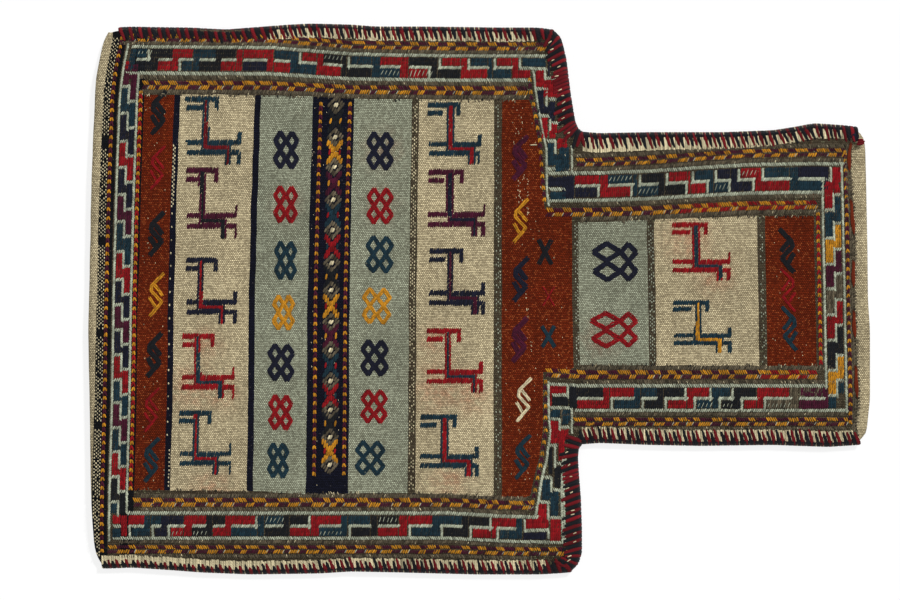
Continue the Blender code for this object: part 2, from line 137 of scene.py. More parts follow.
# %% Edges of the cloth
EDGES = {
    "fold": [(107, 32), (103, 37), (100, 50), (95, 75), (92.5, 125), (90, 200), (88, 300), (87.3, 330),
             (88, 375), (89, 425), (90, 500), (93, 550), (97, 561), (102, 566)],
    "top": [(107, 32), (113, 30), (130, 29), (150, 29.5), (190, 30), (225, 32), (250, 30), (290, 27),
            (310, 26), (350, 27), (375, 29), (425, 29), (500, 30), (540, 30), (552, 32)],
    "upper_shoulder": [(552, 32), (558, 38), (560.5, 46), (563.5, 59), (568, 95), (572.5, 122),
                       (576, 130), (582, 134.5)],
    "neck_top": [(582, 134.5), (600, 136), (650, 135), (725, 135), (775, 133), (800, 129),
                 (815, 126), (830, 127), (845, 128), (858, 129.5)],
    "front_mouth": [(857, 129.5), (851, 150), (850, 170), (852, 200), (855, 240), (854, 290), (856, 350),
                    (858, 400), (857, 425), (860, 442)],
    "back_mouth": [(859, 130), (866, 136), (868, 148), (869, 175), (870.5, 250), (871, 300), (873, 330),
                   (873, 400), (869, 434), (861, 442)],
    "neck_bottom": [(581, 441.5), (600, 440), (650, 442), (700, 443), (775, 442), (800, 443), (830, 444),
                    (860, 442)],
    "lower_shoulder": [(581, 441.5), (576, 448), (575, 458), (576, 475), (578, 500), (579, 530),
                       (579, 553), (576, 563), (569, 570)],
    "bottom": [(102, 566), (112, 566), (130, 565), (175, 568), (200, 570), (250, 572), (320, 571),
               (350, 569), (400, 570), (475, 572), (540, 572), (558, 571), (569, 570)],
}


def walk(points, shares):
    """Points at these shares of the length of a line, with its corners eased."""
    points = np.asarray(points, float)
    steps = np.hypot(*np.diff(points, axis=0).T)
    along = np.concatenate(([0.0], np.cumsum(steps))) / steps.sum()
    fine = np.linspace(0.0, 1.0, 241)
    line = np.column_stack([np.interp(fine, along, points[:, axis]) for axis in (0, 1)])
    for easing in range(12):
        line[1:-1] = (line[:-2] + 2 * line[1:-1] + line[2:]) / 4
    return np.column_stack([np.interp(shares, fine, line[:, axis]) for axis in (0, 1)])


def length_of(points):
    """Length in squares of a line through points."""
    return float(np.hypot(*np.diff(np.asarray(points, float), axis=0).T).sum())


def edge_at(name, y):
    """x of an edge that runs down the sheet, at heights y."""
    edge_x, edge_y = np.asarray(EDGES[name]).T
    return np.interp(y, edge_y, edge_x)


print("edges:", {name: round(length_of(points) * SQUARE, 3) for name, points in EDGES.items()})

# %% [markdown]
# ## How high the cloth lies
#
# An empty bag is flat where it is sewn and a little open in the middle, so each layer rises from its
# sewn edges like a low cushion. Old wool cloth also never lies quite flat. A few long waves of half a
# millimetre are enough to make the light change across it.

# %% Heights of the two layers
CLOTH_THICKNESS = 0.0023
POCKET_GAP = 0.0080
SEAM_GAP = 0.0004
SEAM_LIFT = 0.0020
SLOPE_WIDTH = 0.036
LONG_WAVES = (0.05, 0.16)       # shortest and longest
LONG_WAVE_HEIGHT, SHORT_WAVE_HEIGHT = 0.0009, 0.00025

SEWN_LINES = ("top", "upper_shoulder", "neck_top", "neck_bottom", "lower_shoulder", "bottom")
sewn_points = np.column_stack(to_metres(*np.vstack(
    [walk(EDGES[name], np.linspace(0, 1, 160)) for name in SEWN_LINES]).T))


def sewn_distance(x, y):
    """Distance in metres from each point to the nearest sewn edge."""
    nearest = np.full(np.shape(x), 9.0)
    for start in range(0, len(sewn_points), 40):
        some = sewn_points[start:start + 40]
        nearest = np.minimum(nearest, np.hypot(x[..., None] - some[:, 0], y[..., None] - some[:, 1]).min(-1))
    return nearest


def ripple(x, y, seed):
    """Long low waves, from -1 to 1, that an old cloth keeps."""
    waves = np.random.default_rng(seed)
    total = np.zeros(np.shape(x))
    for wave in range(7):
        turn = waves.uniform(0, math.tau)
        length = waves.uniform(*LONG_WAVES)
        phase = waves.uniform(0, math.tau)
        total += np.sin(math.tau * (x * math.cos(turn) + y * math.sin(turn)) / length + phase)
    return total / 7


def layer_heights(x, y):
    """Heights of the middle of the back and of the front."""
    share = np.clip(sewn_distance(x, y) / SLOPE_WIDTH, 0, 1)
    rise = share * share * (3 - 2 * share)
    back = CLOTH_THICKNESS / 2 + SEAM_LIFT * (1 - rise)
    gap = SEAM_GAP + (POCKET_GAP - SEAM_GAP) * rise
    wave = LONG_WAVE_HEIGHT * ripple(x, y, 5) * rise + SHORT_WAVE_HEIGHT * ripple(6 * x, 6 * y, 8)
    return back, back + CLOTH_THICKNESS + gap + wave


def front_height(x, y):
    """Top of the front's cloth at points given in metres."""
    return layer_heights(x, y)[1] + CLOTH_THICKNESS / 2


print("front at the middle:", round(1000 * float(front_height(np.array([0.0]), np.array([0.0]))[0]), 2),
"mm")

# %% [markdown]
# ## The cloth as one folded sheet
#
# The grid has one row of points for each step along the cloth: from the mouth along the front, round the
# fold, and back under it. Where the neck is narrower than the body, the outer columns of the grid are
# deleted. Each layer's points come from its four edges, so the grid follows the outline, as the real
# yarns do. A Solidify modifier then gives the sheet its thickness.
#
# The fold line is a little short of the outline, because the round of the fold reaches past it. So the
# sides are pulled to meet it, but only near the fold, or the whole side would shift.

# %% Points of the two layers
GRID_STEP = 5.4     # squares
SHOULDER_CUTS = [round(length_of(EDGES["upper_shoulder"]) / GRID_STEP),
                 round(length_of([EDGES["neck_top"][0], EDGES["neck_bottom"][0]]) / GRID_STEP),
                 round(length_of(EDGES["lower_shoulder"]) / GRID_STEP)]
BODY_CUTS = round(length_of(EDGES["top"]) / GRID_STEP)
NECK_CUTS = round(length_of(EDGES["neck_top"]) / GRID_STEP)


def patch(first, last, upper, lower, cuts):
    """Rows of points between two end lines that share the columns, bounded by two sides."""
    rows = np.linspace(0, 1, cuts + 1)[:, None, None]
    steps = np.hypot(*np.diff(last, axis=0).T)
    columns = (np.concatenate(([0.0], np.cumsum(steps))) / steps.sum())[None, :, None]
    top = walk(upper, np.linspace(0, 1, cuts + 1))[:, None, :]
    low = walk(lower, np.linspace(0, 1, cuts + 1))[:, None, :]
    near_first = (1 - rows) ** 12
    top = top + near_first * (first[0] - top[0])
    low = low + near_first * (first[-1] - low[0])
    corners = ((1 - rows) * (1 - columns) * first[0] + (1 - rows) * columns * first[-1]
               + rows * (1 - columns) * last[0] + rows * columns * last[-1])
    return (1 - columns) * top + columns * low + (1 - rows) * first[None] + rows * last[None] - corners


across = np.linspace(0, 1, SHOULDER_CUTS[1] + 1)
neck_start = np.outer(1 - across, EDGES["neck_top"][0]) + np.outer(across, EDGES["neck_bottom"][0])
shoulder_line = np.vstack([
    walk(EDGES["upper_shoulder"], np.linspace(0, 1, SHOULDER_CUTS[0] + 1))[:-1],
    neck_start,
    walk(EDGES["lower_shoulder"], np.linspace(0, 1, SHOULDER_CUTS[2] + 1))[1:]])
line_steps = np.hypot(*np.diff(shoulder_line, axis=0).T)
fold_line = walk(EDGES["fold"], np.concatenate(([0.0], np.cumsum(line_steps))) / line_steps.sum())
fold_x, fold_y = to_metres(*fold_line.T)
back_z, front_z = layer_heights(fold_x, fold_y)
fold_radius = (front_z - back_z) / 2
fold_line[:, 0] += (fold_radius + CLOTH_THICKNESS / 2) / SQUARE

body_points = patch(fold_line, shoulder_line, EDGES["top"], EDGES["bottom"], BODY_CUTS)
front_mouth = walk(EDGES["front_mouth"], across)
back_mouth = walk(EDGES["back_mouth"], across)
front_neck = patch(neck_start, front_mouth, EDGES["neck_top"], EDGES["neck_bottom"], NECK_CUTS)
back_neck = patch(neck_start, back_mouth, EDGES["neck_top"], EDGES["neck_bottom"], NECK_CUTS)
print("columns across the body:", len(shoulder_line), "rows:", BODY_CUTS, "+", NECK_CUTS)

# %% Fields and borders of the ground
UPPER_SIDE_END, LOWER_SIDE_START = 213, 369     # the body's field reaches into the neck between these
NECK_FIELD_START = 574
NO_BORDER_NEAR = 99.0
FIELD_LINES = {
    "body_top": ((130, 270, 350, 450, 560), (94.5, 95, 98.5, 100, 100)),
    "body_bottom": ((110, 250, 300, 400, 450, 500, 560), (490, 491, 494, 493, 494, 497, 500)),
    "neck_top": ((560, 600, 660, 700, 750, 860), (222, 222, 219, 218, 216, 215.5)),
    "neck_bottom": ((560, 860), (365, 366)),
    "upper_side": ((60, 90, 115, 150, 200, 212), (524, 527, 533, 540, 543.5, 545)),
    "lower_side": ((370, 400, 430, 460, 480, 505), (543, 543, 543, 538, 533, 529)),
}


def on_line(name, position):
    """Where a field's edge lies at this place along it."""
    return np.interp(position, *FIELD_LINES[name])


def field_depth(x, y):
    """Squares from a place to the nearest border, negative inside the border."""
    lower_side = np.where(y > LOWER_SIDE_START, on_line("lower_side", y) - x, NO_BORDER_NEAR)
    side = np.where(y < UPPER_SIDE_END, on_line("upper_side", y) - x, lower_side)
    body = np.minimum(np.minimum(y - on_line("body_top", x), on_line("body_bottom", x) - y), side)
    neck = np.minimum(y - on_line("neck_top", x), on_line("neck_bottom", x) - y)
    return np.where(x < NECK_FIELD_START, body, neck)


print("a field's depth in its middle:", round(float(field_depth(np.array([400.0]), np.array([300.0]))[0]), 1))

# %% [markdown]
# ## Sewing the rows into a sheet
#
# Each point of the sheet also keeps its place in the design: the number of its weft, its y, and its depth
# in the field. The material reads them later. Round the fold the numbers run on from the front, then
# change over to the back's, which stay below the first band so that the back is plain cream.

# %% Rows of the folded sheet
FOLD_STEPS = 8
BACK_SHIFT = 12.0       # squares, takes the back's numbers below the first band
WELL_INSIDE = 9.0       # depth in the field of every point of the back
COLUMNS = len(shoulder_line)
neck_columns = slice(SHOULDER_CUTS[0], SHOULDER_CUTS[0] + SHOULDER_CUTS[1] + 1)


def station(points, layer, columns=slice(None)):
    """One row of the sheet as arrays: places in metres and the design's coordinates."""
    places = np.full((COLUMNS, 3), np.nan)
    design = np.zeros((COLUMNS, 3))
    x, y = to_metres(*points.T)
    heights = layer_heights(x, y)[1 if layer == "front" else 0]
    places[columns] = np.column_stack([x, y, heights])
    if layer == "front":
        design[columns] = np.column_stack([weft_at(*points.T), points[:, 1], field_depth(*points.T)])
    else:
        back_weft = 2 * FOLD_SQUARE - BACK_SHIFT - points[:, 0]
        design[columns] = np.column_stack([back_weft, points[:, 1], np.full(len(points), WELL_INSIDE)])
    return places, design


stations = [station(row, "front", neck_columns) for row in front_neck[:0:-1]]
stations += [station(row, "front") for row in body_points[::-1]]
front_rows = len(stations)
edge_front, edge_design = stations[-1]
edge_back, back_design = station(body_points[0], "back")
for step in range(1, FOLD_STEPS):
    angle = math.pi * step / FOLD_STEPS
    ring = edge_back.copy()
    ring[:, 0] -= (edge_front[:, 2] - edge_back[:, 2]) / 2 * math.sin(angle)
    ring[:, 2] += (edge_front[:, 2] - edge_back[:, 2]) / 2 * (1 + math.cos(angle))
    share = max(0.0, 2 * step / FOLD_STEPS - 1)
    ring_x = FOLD_SQUARE + (ring[:, 0] - cad_low[0]) / SQUARE
    ring_design = edge_design.copy()
    ring_design[:, 0] = weft_at(ring_x, body_points[0][:, 1])
    stations.append((ring, ring_design * (1 - share) + back_design * share))
stations += [station(row, "back") for row in body_points]
stations += [station(row, "back", neck_columns) for row in back_neck[1:]]
print("rows of the sheet:", len(stations))

# %% Spots where crimson has run
BLEED_SPOTS = [(192, 386, 14), (222, 392, 10), (205, 345, 10), (440, 386, 16), (470, 395, 12), (435, 340, 9),
               (690, 240, 14), (715, 275, 12), (600, 340, 12), (150, 170, 8), (548, 295, 10), (285, 205, 9),
               (380, 150, 12), (380, 205, 10), (215, 492, 12), (450, 480, 10)]


def bleed(x, y):
    """How much crimson has run into the ground at a square, 0 to 1."""
    total = np.zeros(np.shape(x))
    for spot_x, spot_y, size in BLEED_SPOTS:
        total = np.maximum(total, np.exp(-((x - spot_x) ** 2 + (y - spot_y) ** 2) / (2 * size ** 2)))
    return total


print("spots:", len(BLEED_SPOTS))

# %% The sheet's mesh
bm = bmesh.new()
bmesh.ops.create_grid(bm, x_segments=len(stations) - 1, y_segments=COLUMNS - 1, size=1.0)
design_layer = bm.verts.layers.float_vector.new("design")
bleed_layer = bm.verts.layers.float.new("bleed")
unused = []
for vertex in bm.verts:
    row = round((vertex.co.x + 1) / 2 * (len(stations) - 1))
    column = round((vertex.co.y + 1) / 2 * (COLUMNS - 1))
    places, design = stations[row]
    if np.isnan(places[column, 0]):
        unused.append(vertex)
    else:
        vertex.co = places[column]
        vertex[design_layer] = design[column]
        if row < front_rows:
            vertex[bleed_layer] = float(bleed(design[column, 0], design[column, 1]))
bmesh.ops.delete(bm, geom=unused, context="VERTS")
bmesh.ops.recalc_face_normals(bm, faces=bm.faces)
highest_face = max(bm.faces, key=lambda face: face.calc_center_median().z)
if highest_face.normal.z < 0:
    bmesh.ops.reverse_faces(bm, faces=bm.faces)
sheet_mesh = bpy.data.meshes.new("ground_cloth")
bm.to_mesh(sheet_mesh)
bm.free()
sheet_mesh.shade_smooth()
ground_cloth = bpy.data.objects.new("ground_cloth", sheet_mesh)
bpy.context.collection.objects.link(ground_cloth)
wall = ground_cloth.modifiers.new("thickness", "SOLIDIFY")
wall.thickness = CLOTH_THICKNESS
wall.offset = 0.0
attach(ground_cloth, "root")
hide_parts("woven_cloth")
print("the sheet has", len(sheet_mesh.polygons), "faces")

# %% [markdown]
# ## Wool colours
#
# All the yarn is wool dyed with plants, so no colour is pure and none is even. The colours are written as
# they look in daylight, from 0 to 255, and turned into the linear values that a shader works with.

# %% Palette
DYES = {
    "cream": (206, 193, 156),
    "pale": (162, 167, 146),
    "grey_blue": (159, 165, 143),
    "rust": (109, 38, 12),
    "crimson": (127, 11, 18),
    "wine": (99, 14, 21),
    "navy": (17, 19, 34),
    "black": (15, 17, 21),
    "teal": (19, 42, 52),
    "gold": (181, 123, 27),
    "plum": (62, 13, 34),
    "umber": (80, 72, 57),
}


def dye(name, strength=1.0):
    """A dye's linear colour, with its alpha."""
    shares = [value / 255 for value in DYES[name]]
    linear = [share / 12.92 if share <= 0.04045 else ((share + 0.055) / 1.055) ** 2.4 for share in shares]
    return (*[value * strength for value in linear], 1.0)


print("dyes:", ", ".join(DYES))

# %% [markdown]
# ## Shader groups
#
# Two effects are wanted in every material here. Handspun yarn takes dye unevenly, and it is hairy, which
# shows as fine light and dark flecks. The ground is also a weft-faced plain weave: rows of small bumps
# along the warp, each row half a bump out of step with the next. Each effect is a node group, built once.

# %% A helper for building node groups
def new_group(name, inputs, outputs):
    """A shader group with float, colour or vector sockets; returns it with its two end nodes."""
    group = bpy.data.node_groups.new(name, "ShaderNodeTree")
    kinds = {"float": "NodeSocketFloat", "colour": "NodeSocketColor", "vector": "NodeSocketVector"}
    for direction, sockets in (("INPUT", inputs), ("OUTPUT", outputs)):
        for label, kind in sockets:
            group.interface.new_socket(label, in_out=direction, socket_type=kinds[kind])
    return group, group.nodes.new("NodeGroupInput"), group.nodes.new("NodeGroupOutput")


def maths(tree, operation, first, second=None, third=None):
    """A Math node fed with sockets or numbers; returns its output."""
    node = tree.nodes.new("ShaderNodeMath")
    node.operation = operation
    for socket, value in zip(node.inputs, (first, second, third)):
        if value is None:
            continue
        if isinstance(value, bpy.types.NodeSocket):
            tree.links.new(value, socket)
        else:
            socket.default_value = value
    return node.outputs[0]


def mixed(tree, factor, first, second, blend="MIX"):
    """A colour mix of two sockets or colours; returns its output."""
    node = tree.nodes.new("ShaderNodeMix")
    node.data_type = "RGBA"
    node.blend_type = blend
    for socket, value in zip((node.inputs[0], node.inputs[6], node.inputs[7]), (factor, first, second)):
        if isinstance(value, bpy.types.NodeSocket):
            tree.links.new(value, socket)
        else:
            socket.default_value = value
    return node.outputs[2]


def noise(tree, vector, scale, detail=2.0, roughness=0.5):
    """A Noise Texture on a vector; returns its factor."""
    node = tree.nodes.new("ShaderNodeTexNoise")
    node.inputs["Scale"].default_value = scale
    node.inputs["Detail"].default_value = detail
    node.inputs["Roughness"].default_value = roughness
    tree.links.new(vector, node.inputs["Vector"])
    return node.outputs["Fac"]


def stretched(tree, vector, scale):
    """The vector scaled differently along each axis."""
    node = tree.nodes.new("ShaderNodeMapping")
    node.inputs["Scale"].default_value = scale
    tree.links.new(vector, node.inputs["Vector"])
    return node.outputs["Vector"]


def scaled(tree, colour, factor):
    """A colour made lighter or darker by a factor; returns its output."""
    node = tree.nodes.new("ShaderNodeVectorMath")
    node.operation = "SCALE"
    tree.links.new(colour, node.inputs[0])
    tree.links.new(factor, node.inputs["Scale"])
    return node.outputs[0]


def split_vector(tree, vector):
    """The three numbers of a vector."""
    node = tree.nodes.new("ShaderNodeSeparateXYZ")
    tree.links.new(vector, node.inputs[0])
    return node.outputs


def attribute(tree, name):
    """The node that reads a mesh's attribute."""
    node = tree.nodes.new("ShaderNodeAttribute")
    node.attribute_name = name
    return node


def emboss(tree, skin, height, strength, distance):
    """Turn a height into the tilt of a shader's surface."""
    relief = tree.nodes.new("ShaderNodeBump")
    relief.inputs["Strength"].default_value = strength
    relief.inputs["Distance"].default_value = distance
    tree.links.new(height, relief.inputs["Height"])
    tree.links.new(relief.outputs["Normal"], skin.inputs["Normal"])


# %% Handspun wool: uneven dye and loose hairs
handspun, spun_in, spun_out = new_group(
    "handspun_wool", [("Colour", "colour"), ("Place", "vector"), ("Unevenness", "float")],
    [("Colour", "colour"), ("Hairs", "float")])
cloudy = noise(handspun, spun_in.outputs["Place"], 38.0, 3.0, 0.6)
flecks = noise(handspun, spun_in.outputs["Place"], 900.0, 2.0, 0.7)
drawn_out = stretched(handspun, spun_in.outputs["Place"], (5000.0, 900.0, 3000.0))
hairs = noise(handspun, drawn_out, 1.0, 2.0, 0.6)
amount = maths(handspun, "MULTIPLY_ADD", maths(handspun, "SUBTRACT", cloudy, 0.5), 1.5,
               maths(handspun, "SUBTRACT", flecks, 0.5))
level = maths(handspun, "MULTIPLY_ADD", amount, spun_in.outputs["Unevenness"], 1.0)
handspun.links.new(scaled(handspun, spun_in.outputs["Colour"], level), spun_out.inputs["Colour"])
handspun.links.new(hairs, spun_out.inputs["Hairs"])


def spin(tree, colour, place, unevenness):
    """Handspun wool of a colour; returns its colour and its hairs."""
    node = tree.nodes.new("ShaderNodeGroup")
    node.node_tree = handspun
    node.inputs["Unevenness"].default_value = unevenness
    tree.links.new(colour, node.inputs["Colour"])
    tree.links.new(place, node.inputs["Place"])
    return node.outputs["Colour"], node.outputs["Hairs"]


print("handspun wool has", len(handspun.nodes), "nodes")

# %% Weft-faced plain weave
RIB_PITCH = 0.00125     # one warp and the wefts over it
PICK_PITCH = 0.00150    # two wefts, which show one after the other on the same rib
SWAY = 0.0026           # how far the rows wander
weave, weave_in, weave_out = new_group(
    "weft_faced_weave", [("Place", "vector")], [("Height", "float"), ("Valley", "float"),
                         ("Speck", "float")])


def humps(place):
    """A row of round humps, one for each whole number of place."""
    return maths(weave, "SINE", maths(weave, "MULTIPLY", maths(weave, "FRACT", place), math.pi))


place_x, place_y, _ = split_vector(weave, weave_in.outputs["Place"])
wander = maths(weave, "SUBTRACT", noise(weave, weave_in.outputs["Place"], 42.0), 0.5)
sway = maths(weave, "MULTIPLY", wander, SWAY)
rib_place = maths(weave, "DIVIDE", maths(weave, "ADD", place_y, sway), RIB_PITCH)
rib_number = maths(weave, "FLOOR", rib_place)
odd_rib = maths(weave, "MODULO", maths(weave, "ABSOLUTE", rib_number), 2.0)
step_aside = maths(weave, "MULTIPLY", odd_rib, 0.5)
pick_place = maths(weave, "DIVIDE", maths(weave, "ADD", place_x, sway), PICK_PITCH)
pick_place = maths(weave, "ADD", pick_place, step_aside)
print("bumps in a square centimetre:", round(0.01 / RIB_PITCH * 0.01 / PICK_PITCH))

# %% A height and a lottery number for each bump
cell = weave.nodes.new("ShaderNodeCombineXYZ")
weave.links.new(maths(weave, "FLOOR", pick_place), cell.inputs[0])
weave.links.new(rib_number, cell.inputs[1])
lottery = weave.nodes.new("ShaderNodeTexWhiteNoise")
weave.links.new(cell.outputs[0], lottery.inputs["Vector"])
rib_height = maths(weave, "POWER", humps(rib_place), 0.5)
pick_height = maths(weave, "MULTIPLY_ADD", humps(pick_place), 0.72, 0.28)
even_height = maths(weave, "MULTIPLY", rib_height, pick_height)
unequal = maths(weave, "MULTIPLY_ADD", lottery.outputs["Value"], 0.36, 0.64)
bump_height = maths(weave, "MULTIPLY", even_height, unequal)
weave.links.new(bump_height, weave_out.inputs["Height"])
weave.links.new(maths(weave, "SUBTRACT", 1.0, bump_height), weave_out.inputs["Valley"])
weave.links.new(lottery.outputs["Value"], weave_out.inputs["Speck"])
print("groups:", [group.name for group in bpy.data.node_groups])

# %% [markdown]
# ## The ground's bands
#
# A weft band changes colour along one line of weft, so its edge is sharp. Painting vertices would blur
# it, and a Color Ramp is too coarse: it is stored as 256 steps, three squares each on this bag. So the
# sheet carries the design's coordinates, and one Greater Than node for each band lays the band's colour
# over all the earlier ones from its first weft on.

# %% Bands along the cloth
BANDS = [      # first weft, dye, share of stray lighter bumps
    (0, "cream", 0.0), (96.9, "black", 0.02), (111.5, "umber", 0.0), (124, "black", 0.0),
    (138.2, "rust", 0.16), (168.2, "navy", 0.02), (174.2, "cream", 0.0), (248.8, "navy", 0.02),
    (255.0, "grey_blue", 0.0), (307.5, "navy", 0.02), (349.6, "grey_blue", 0.0), (408.8, "umber", 0.08),
    (416.4, "cream", 0.0), (493.8, "umber", 0.08), (502.0, "rust", 0.16), (572.6, "umber", 0.08),
    (579.0, "grey_blue", 0.0), (648.0, "umber", 0.08), (655.4, "cream", 0.0), (758.3, "umber", 0.08),
    (766.3, "rust", 0.16), (815.3, "umber", 0.04),
]


def lay_bands(tree, weft_number):
    """Colour and share of stray bumps at a weft, from the list of bands."""
    colour, share = dye(BANDS[0][1]), BANDS[0][2]
    for (start, name, specks), (_, _, before) in zip(BANDS[1:], BANDS):
        begun = maths(tree, "GREATER_THAN", weft_number, start)
        colour = mixed(tree, begun, colour, dye(name))
        if specks != before:
            share = maths(tree, "MULTIPLY_ADD", begun, specks - before, share)
    return colour, share


print("bands:", len(BANDS))

# %% [markdown]
# ## The ground's material
#
# The bands give the plain colour, and five things are laid over it: streaks along the wefts, slow changes
# of the dye, stray bumps of a lighter yarn, crimson that has run, and painted shade between the bumps.
# Beyond the first and the last border the bands run from edge to edge. Between them the borders lie on umber.

# %% Plain colour
FIRST_BORDER, LAST_BORDER = 138.0, 815.0        # wefts
DRIFT = 2.2                                     # squares that a band's edge wanders
cloth_look = bpy.data.materials.new("woven_ground")
cloth_look.use_nodes = True
tree = cloth_look.node_tree
skin = tree.nodes["Principled BSDF"]
skin.inputs["Roughness"].default_value = 0.92
skin.inputs["Specular IOR Level"].default_value = 0.10
design_x, _, design_depth = split_vector(tree, attribute(tree, "design").outputs["Vector"])
object_place = tree.nodes.new("ShaderNodeTexCoord").outputs["Object"]

drift = maths(tree, "MULTIPLY", maths(tree, "SUBTRACT", noise(tree, object_place, 45.0), 0.5), DRIFT)
band_colour, speck_share = lay_bands(tree, maths(tree, "ADD", design_x, drift))
in_field = maths(tree, "GREATER_THAN", maths(tree, "ADD", design_depth, drift), 0.0)
at_ends = maths(tree, "MAXIMUM", maths(tree, "LESS_THAN", design_x, FIRST_BORDER),
                maths(tree, "GREATER_THAN", design_x, LAST_BORDER))
banded = maths(tree, "MAXIMUM", in_field, at_ends)
ground_colour = mixed(tree, banded, dye("umber", 0.85), band_colour)
print("nodes for the plain colour:", len(tree.nodes))

# %% Streaks and uneven dye
woven = tree.nodes.new("ShaderNodeGroup")
woven.node_tree = weave
tree.links.new(object_place, woven.inputs["Place"])
streaks = noise(tree, stretched(tree, object_place, (620.0, 22.0, 1.0)), 1.0, 2.0, 0.6)
slow_change = noise(tree, stretched(tree, object_place, (26.0, 4.0, 1.0)), 1.0, 2.0, 0.5)
tone = maths(tree, "MULTIPLY_ADD", maths(tree, "SUBTRACT", slow_change, 0.5), 0.40, 1.0)
tone = maths(tree, "MULTIPLY_ADD", maths(tree, "SUBTRACT", streaks, 0.5), 0.50, tone)
bump_tone = maths(tree, "MULTIPLY_ADD", woven.outputs["Speck"], 0.50, 1.16)
toned = scaled(tree, ground_colour, maths(tree, "MULTIPLY", tone, bump_tone))
print("nodes with the uneven dye:", len(tree.nodes))

# %% Stray bumps of a lighter yarn
patches = maths(tree, "MULTIPLY_ADD", noise(tree, object_place, 30.0), 2.4, -0.2)
stray_share = maths(tree, "MULTIPLY", speck_share, patches)
stray = maths(tree, "GREATER_THAN", woven.outputs["Speck"], maths(tree, "SUBTRACT", 1.0, stray_share))
on_bump = maths(tree, "GREATER_THAN", woven.outputs["Height"], 0.5)
lighter = tree.nodes.new("ShaderNodeVectorMath")
lighter.operation = "MULTIPLY_ADD"
tree.links.new(toned, lighter.inputs[0])
lighter.inputs[1].default_value = (1.25, 1.6, 1.5)
lighter.inputs[2].default_value = (0.030, 0.022, 0.010)
speckled = mixed(tree, maths(tree, "MULTIPLY", on_bump, stray), toned, lighter.outputs[0])
print("nodes with the stray bumps:", len(tree.nodes))

# %% Crimson that has run, and painted shade between the bumps
CRIMSON_RUN = (0.95, 0.46, 0.42, 1.0)
# The colour of the painted shade that darkens the valleys between the bumps.
VALLEY_PAINTED_SHADE = (0.13, 0.09, 0.06, 1.0)
MOST_RUN = 0.5
blotches = maths(tree, "MULTIPLY_ADD", noise(tree, object_place, 160.0), 2.0, -0.62)
run_share = maths(tree, "MULTIPLY", attribute(tree, "bleed").outputs["Fac"], blotches)
run_share = maths(tree, "MINIMUM", maths(tree, "MAXIMUM", run_share, 0.0), MOST_RUN)
stained = mixed(tree, run_share, speckled, CRIMSON_RUN, "MULTIPLY")
# Painted shade: the colour is darkened in the valleys between the weave's bumps.
painted_valley_shade = maths(tree, "POWER", woven.outputs["Valley"], 0.95)
shaded = mixed(tree, painted_valley_shade, stained, VALLEY_PAINTED_SHADE, "MULTIPLY")

ground_spun, ground_hairs = spin(tree, shaded, object_place, 0.50)
tree.links.new(ground_spun, skin.inputs["Base Color"])
ground_height = maths(tree, "MULTIPLY_ADD", ground_hairs, 0.35, woven.outputs["Height"])
emboss(tree, skin, ground_height, 0.8, 0.0010)
sheet_mesh.materials.append(cloth_look)
print("nodes in the ground's material:", len(tree.nodes))

# %% [markdown]
# ## The stitches
#
# On the real bag the figures are wrapped weft: a coloured yarn goes forward over a few warps and back
# under some of them, which leaves a row of short slanting stitches. Each stitch here is one small grain of
# yarn. A grid bent into a half-round grain is modelled once. The design then says where each grain goes,
# and they are all written into one mesh for each dye.
#
# Collection instances would be lighter, but each grain needs its own shade and its own height on the
# uneven cloth.

# %% The grain of one stitch
bm = bmesh.new()
bmesh.ops.create_grid(bm, x_segments=4, y_segments=3, size=1.0)
for vertex in bm.verts:
    along, side = vertex.co.x, vertex.co.y
    fullness = max(0.0, 1 - abs(along) ** 5) ** 0.5
    width = 0.45 + 0.55 * fullness
    angle = side * math.pi / 2
    vertex.co = (along, math.sin(angle) * width, (math.cos(angle) - 0.35) * (0.25 + 0.75 * fullness))
bmesh.ops.recalc_face_normals(bm, faces=bm.faces)
if sum(face.normal.z for face in bm.faces) < 0:
    bmesh.ops.reverse_faces(bm, faces=bm.faces)
grain_points = np.array([vertex.co for vertex in bm.verts])
grain_faces = np.array([[vertex.index for vertex in face.verts] for face in bm.faces])
bm.free()
print("a grain has", len(grain_points), "points and", len(grain_faces), "faces")

# %% The book of stitches
stitch_book = {}


def sew(wool, x, y, slant, length, width=2.0, raise_by=0.0):
    """Note stitches in squares. slant is degrees from upright, positive when the top leans right."""
    columns = np.broadcast_arrays(*[np.atleast_1d(np.asarray(value, float))
                                    for value in (x, y, slant, length, width, raise_by)])
    stitch_book.setdefault(wool, []).append(np.column_stack(columns))


SHORTEST_RUN, OVERLAP = 1.0, 1.2


def sew_run(wool, u, start, end, slant=12.0, stitch=4.3, width=2.3):
    """One weft's run of stitches from start to end, down column u."""
    if end - start < SHORTEST_RUN:
        return
    count = max(1, round((end - start) / stitch))
    edges = np.linspace(start, end, count + 1)
    middles = (edges[1:] + edges[:-1]) / 2
    sew(wool, lean_x(u, middles), middles, slant, (end - start) / count + OVERLAP, width)


def sew_across(wool, x_start, x_end, line, pitch=2.05, slant=32.0, length=4.2, width=1.9, raise_by=0.0):
    """A row of slanting stitches along a line that runs from the fold towards the mouth."""
    x = np.arange(x_start, x_end, pitch) + pitch / 2
    y = np.interp(x, *line) if isinstance(line, tuple) else line
    sew(wool, x, y, slant, length, width, raise_by)


def sew_down(wool, y_start, y_end, line, pitch=2.4, slant=26.0, length=3.9, width=2.7):
    """A row of stitches down a line, which gives x for each y."""
    y = np.arange(y_start, y_end, pitch) + pitch / 2
    x = np.interp(y, *line) if isinstance(line, tuple) else lean_x(line, y)
    sew(wool, x, y, slant, length, width)


PATH_OVERLAP = 1.6


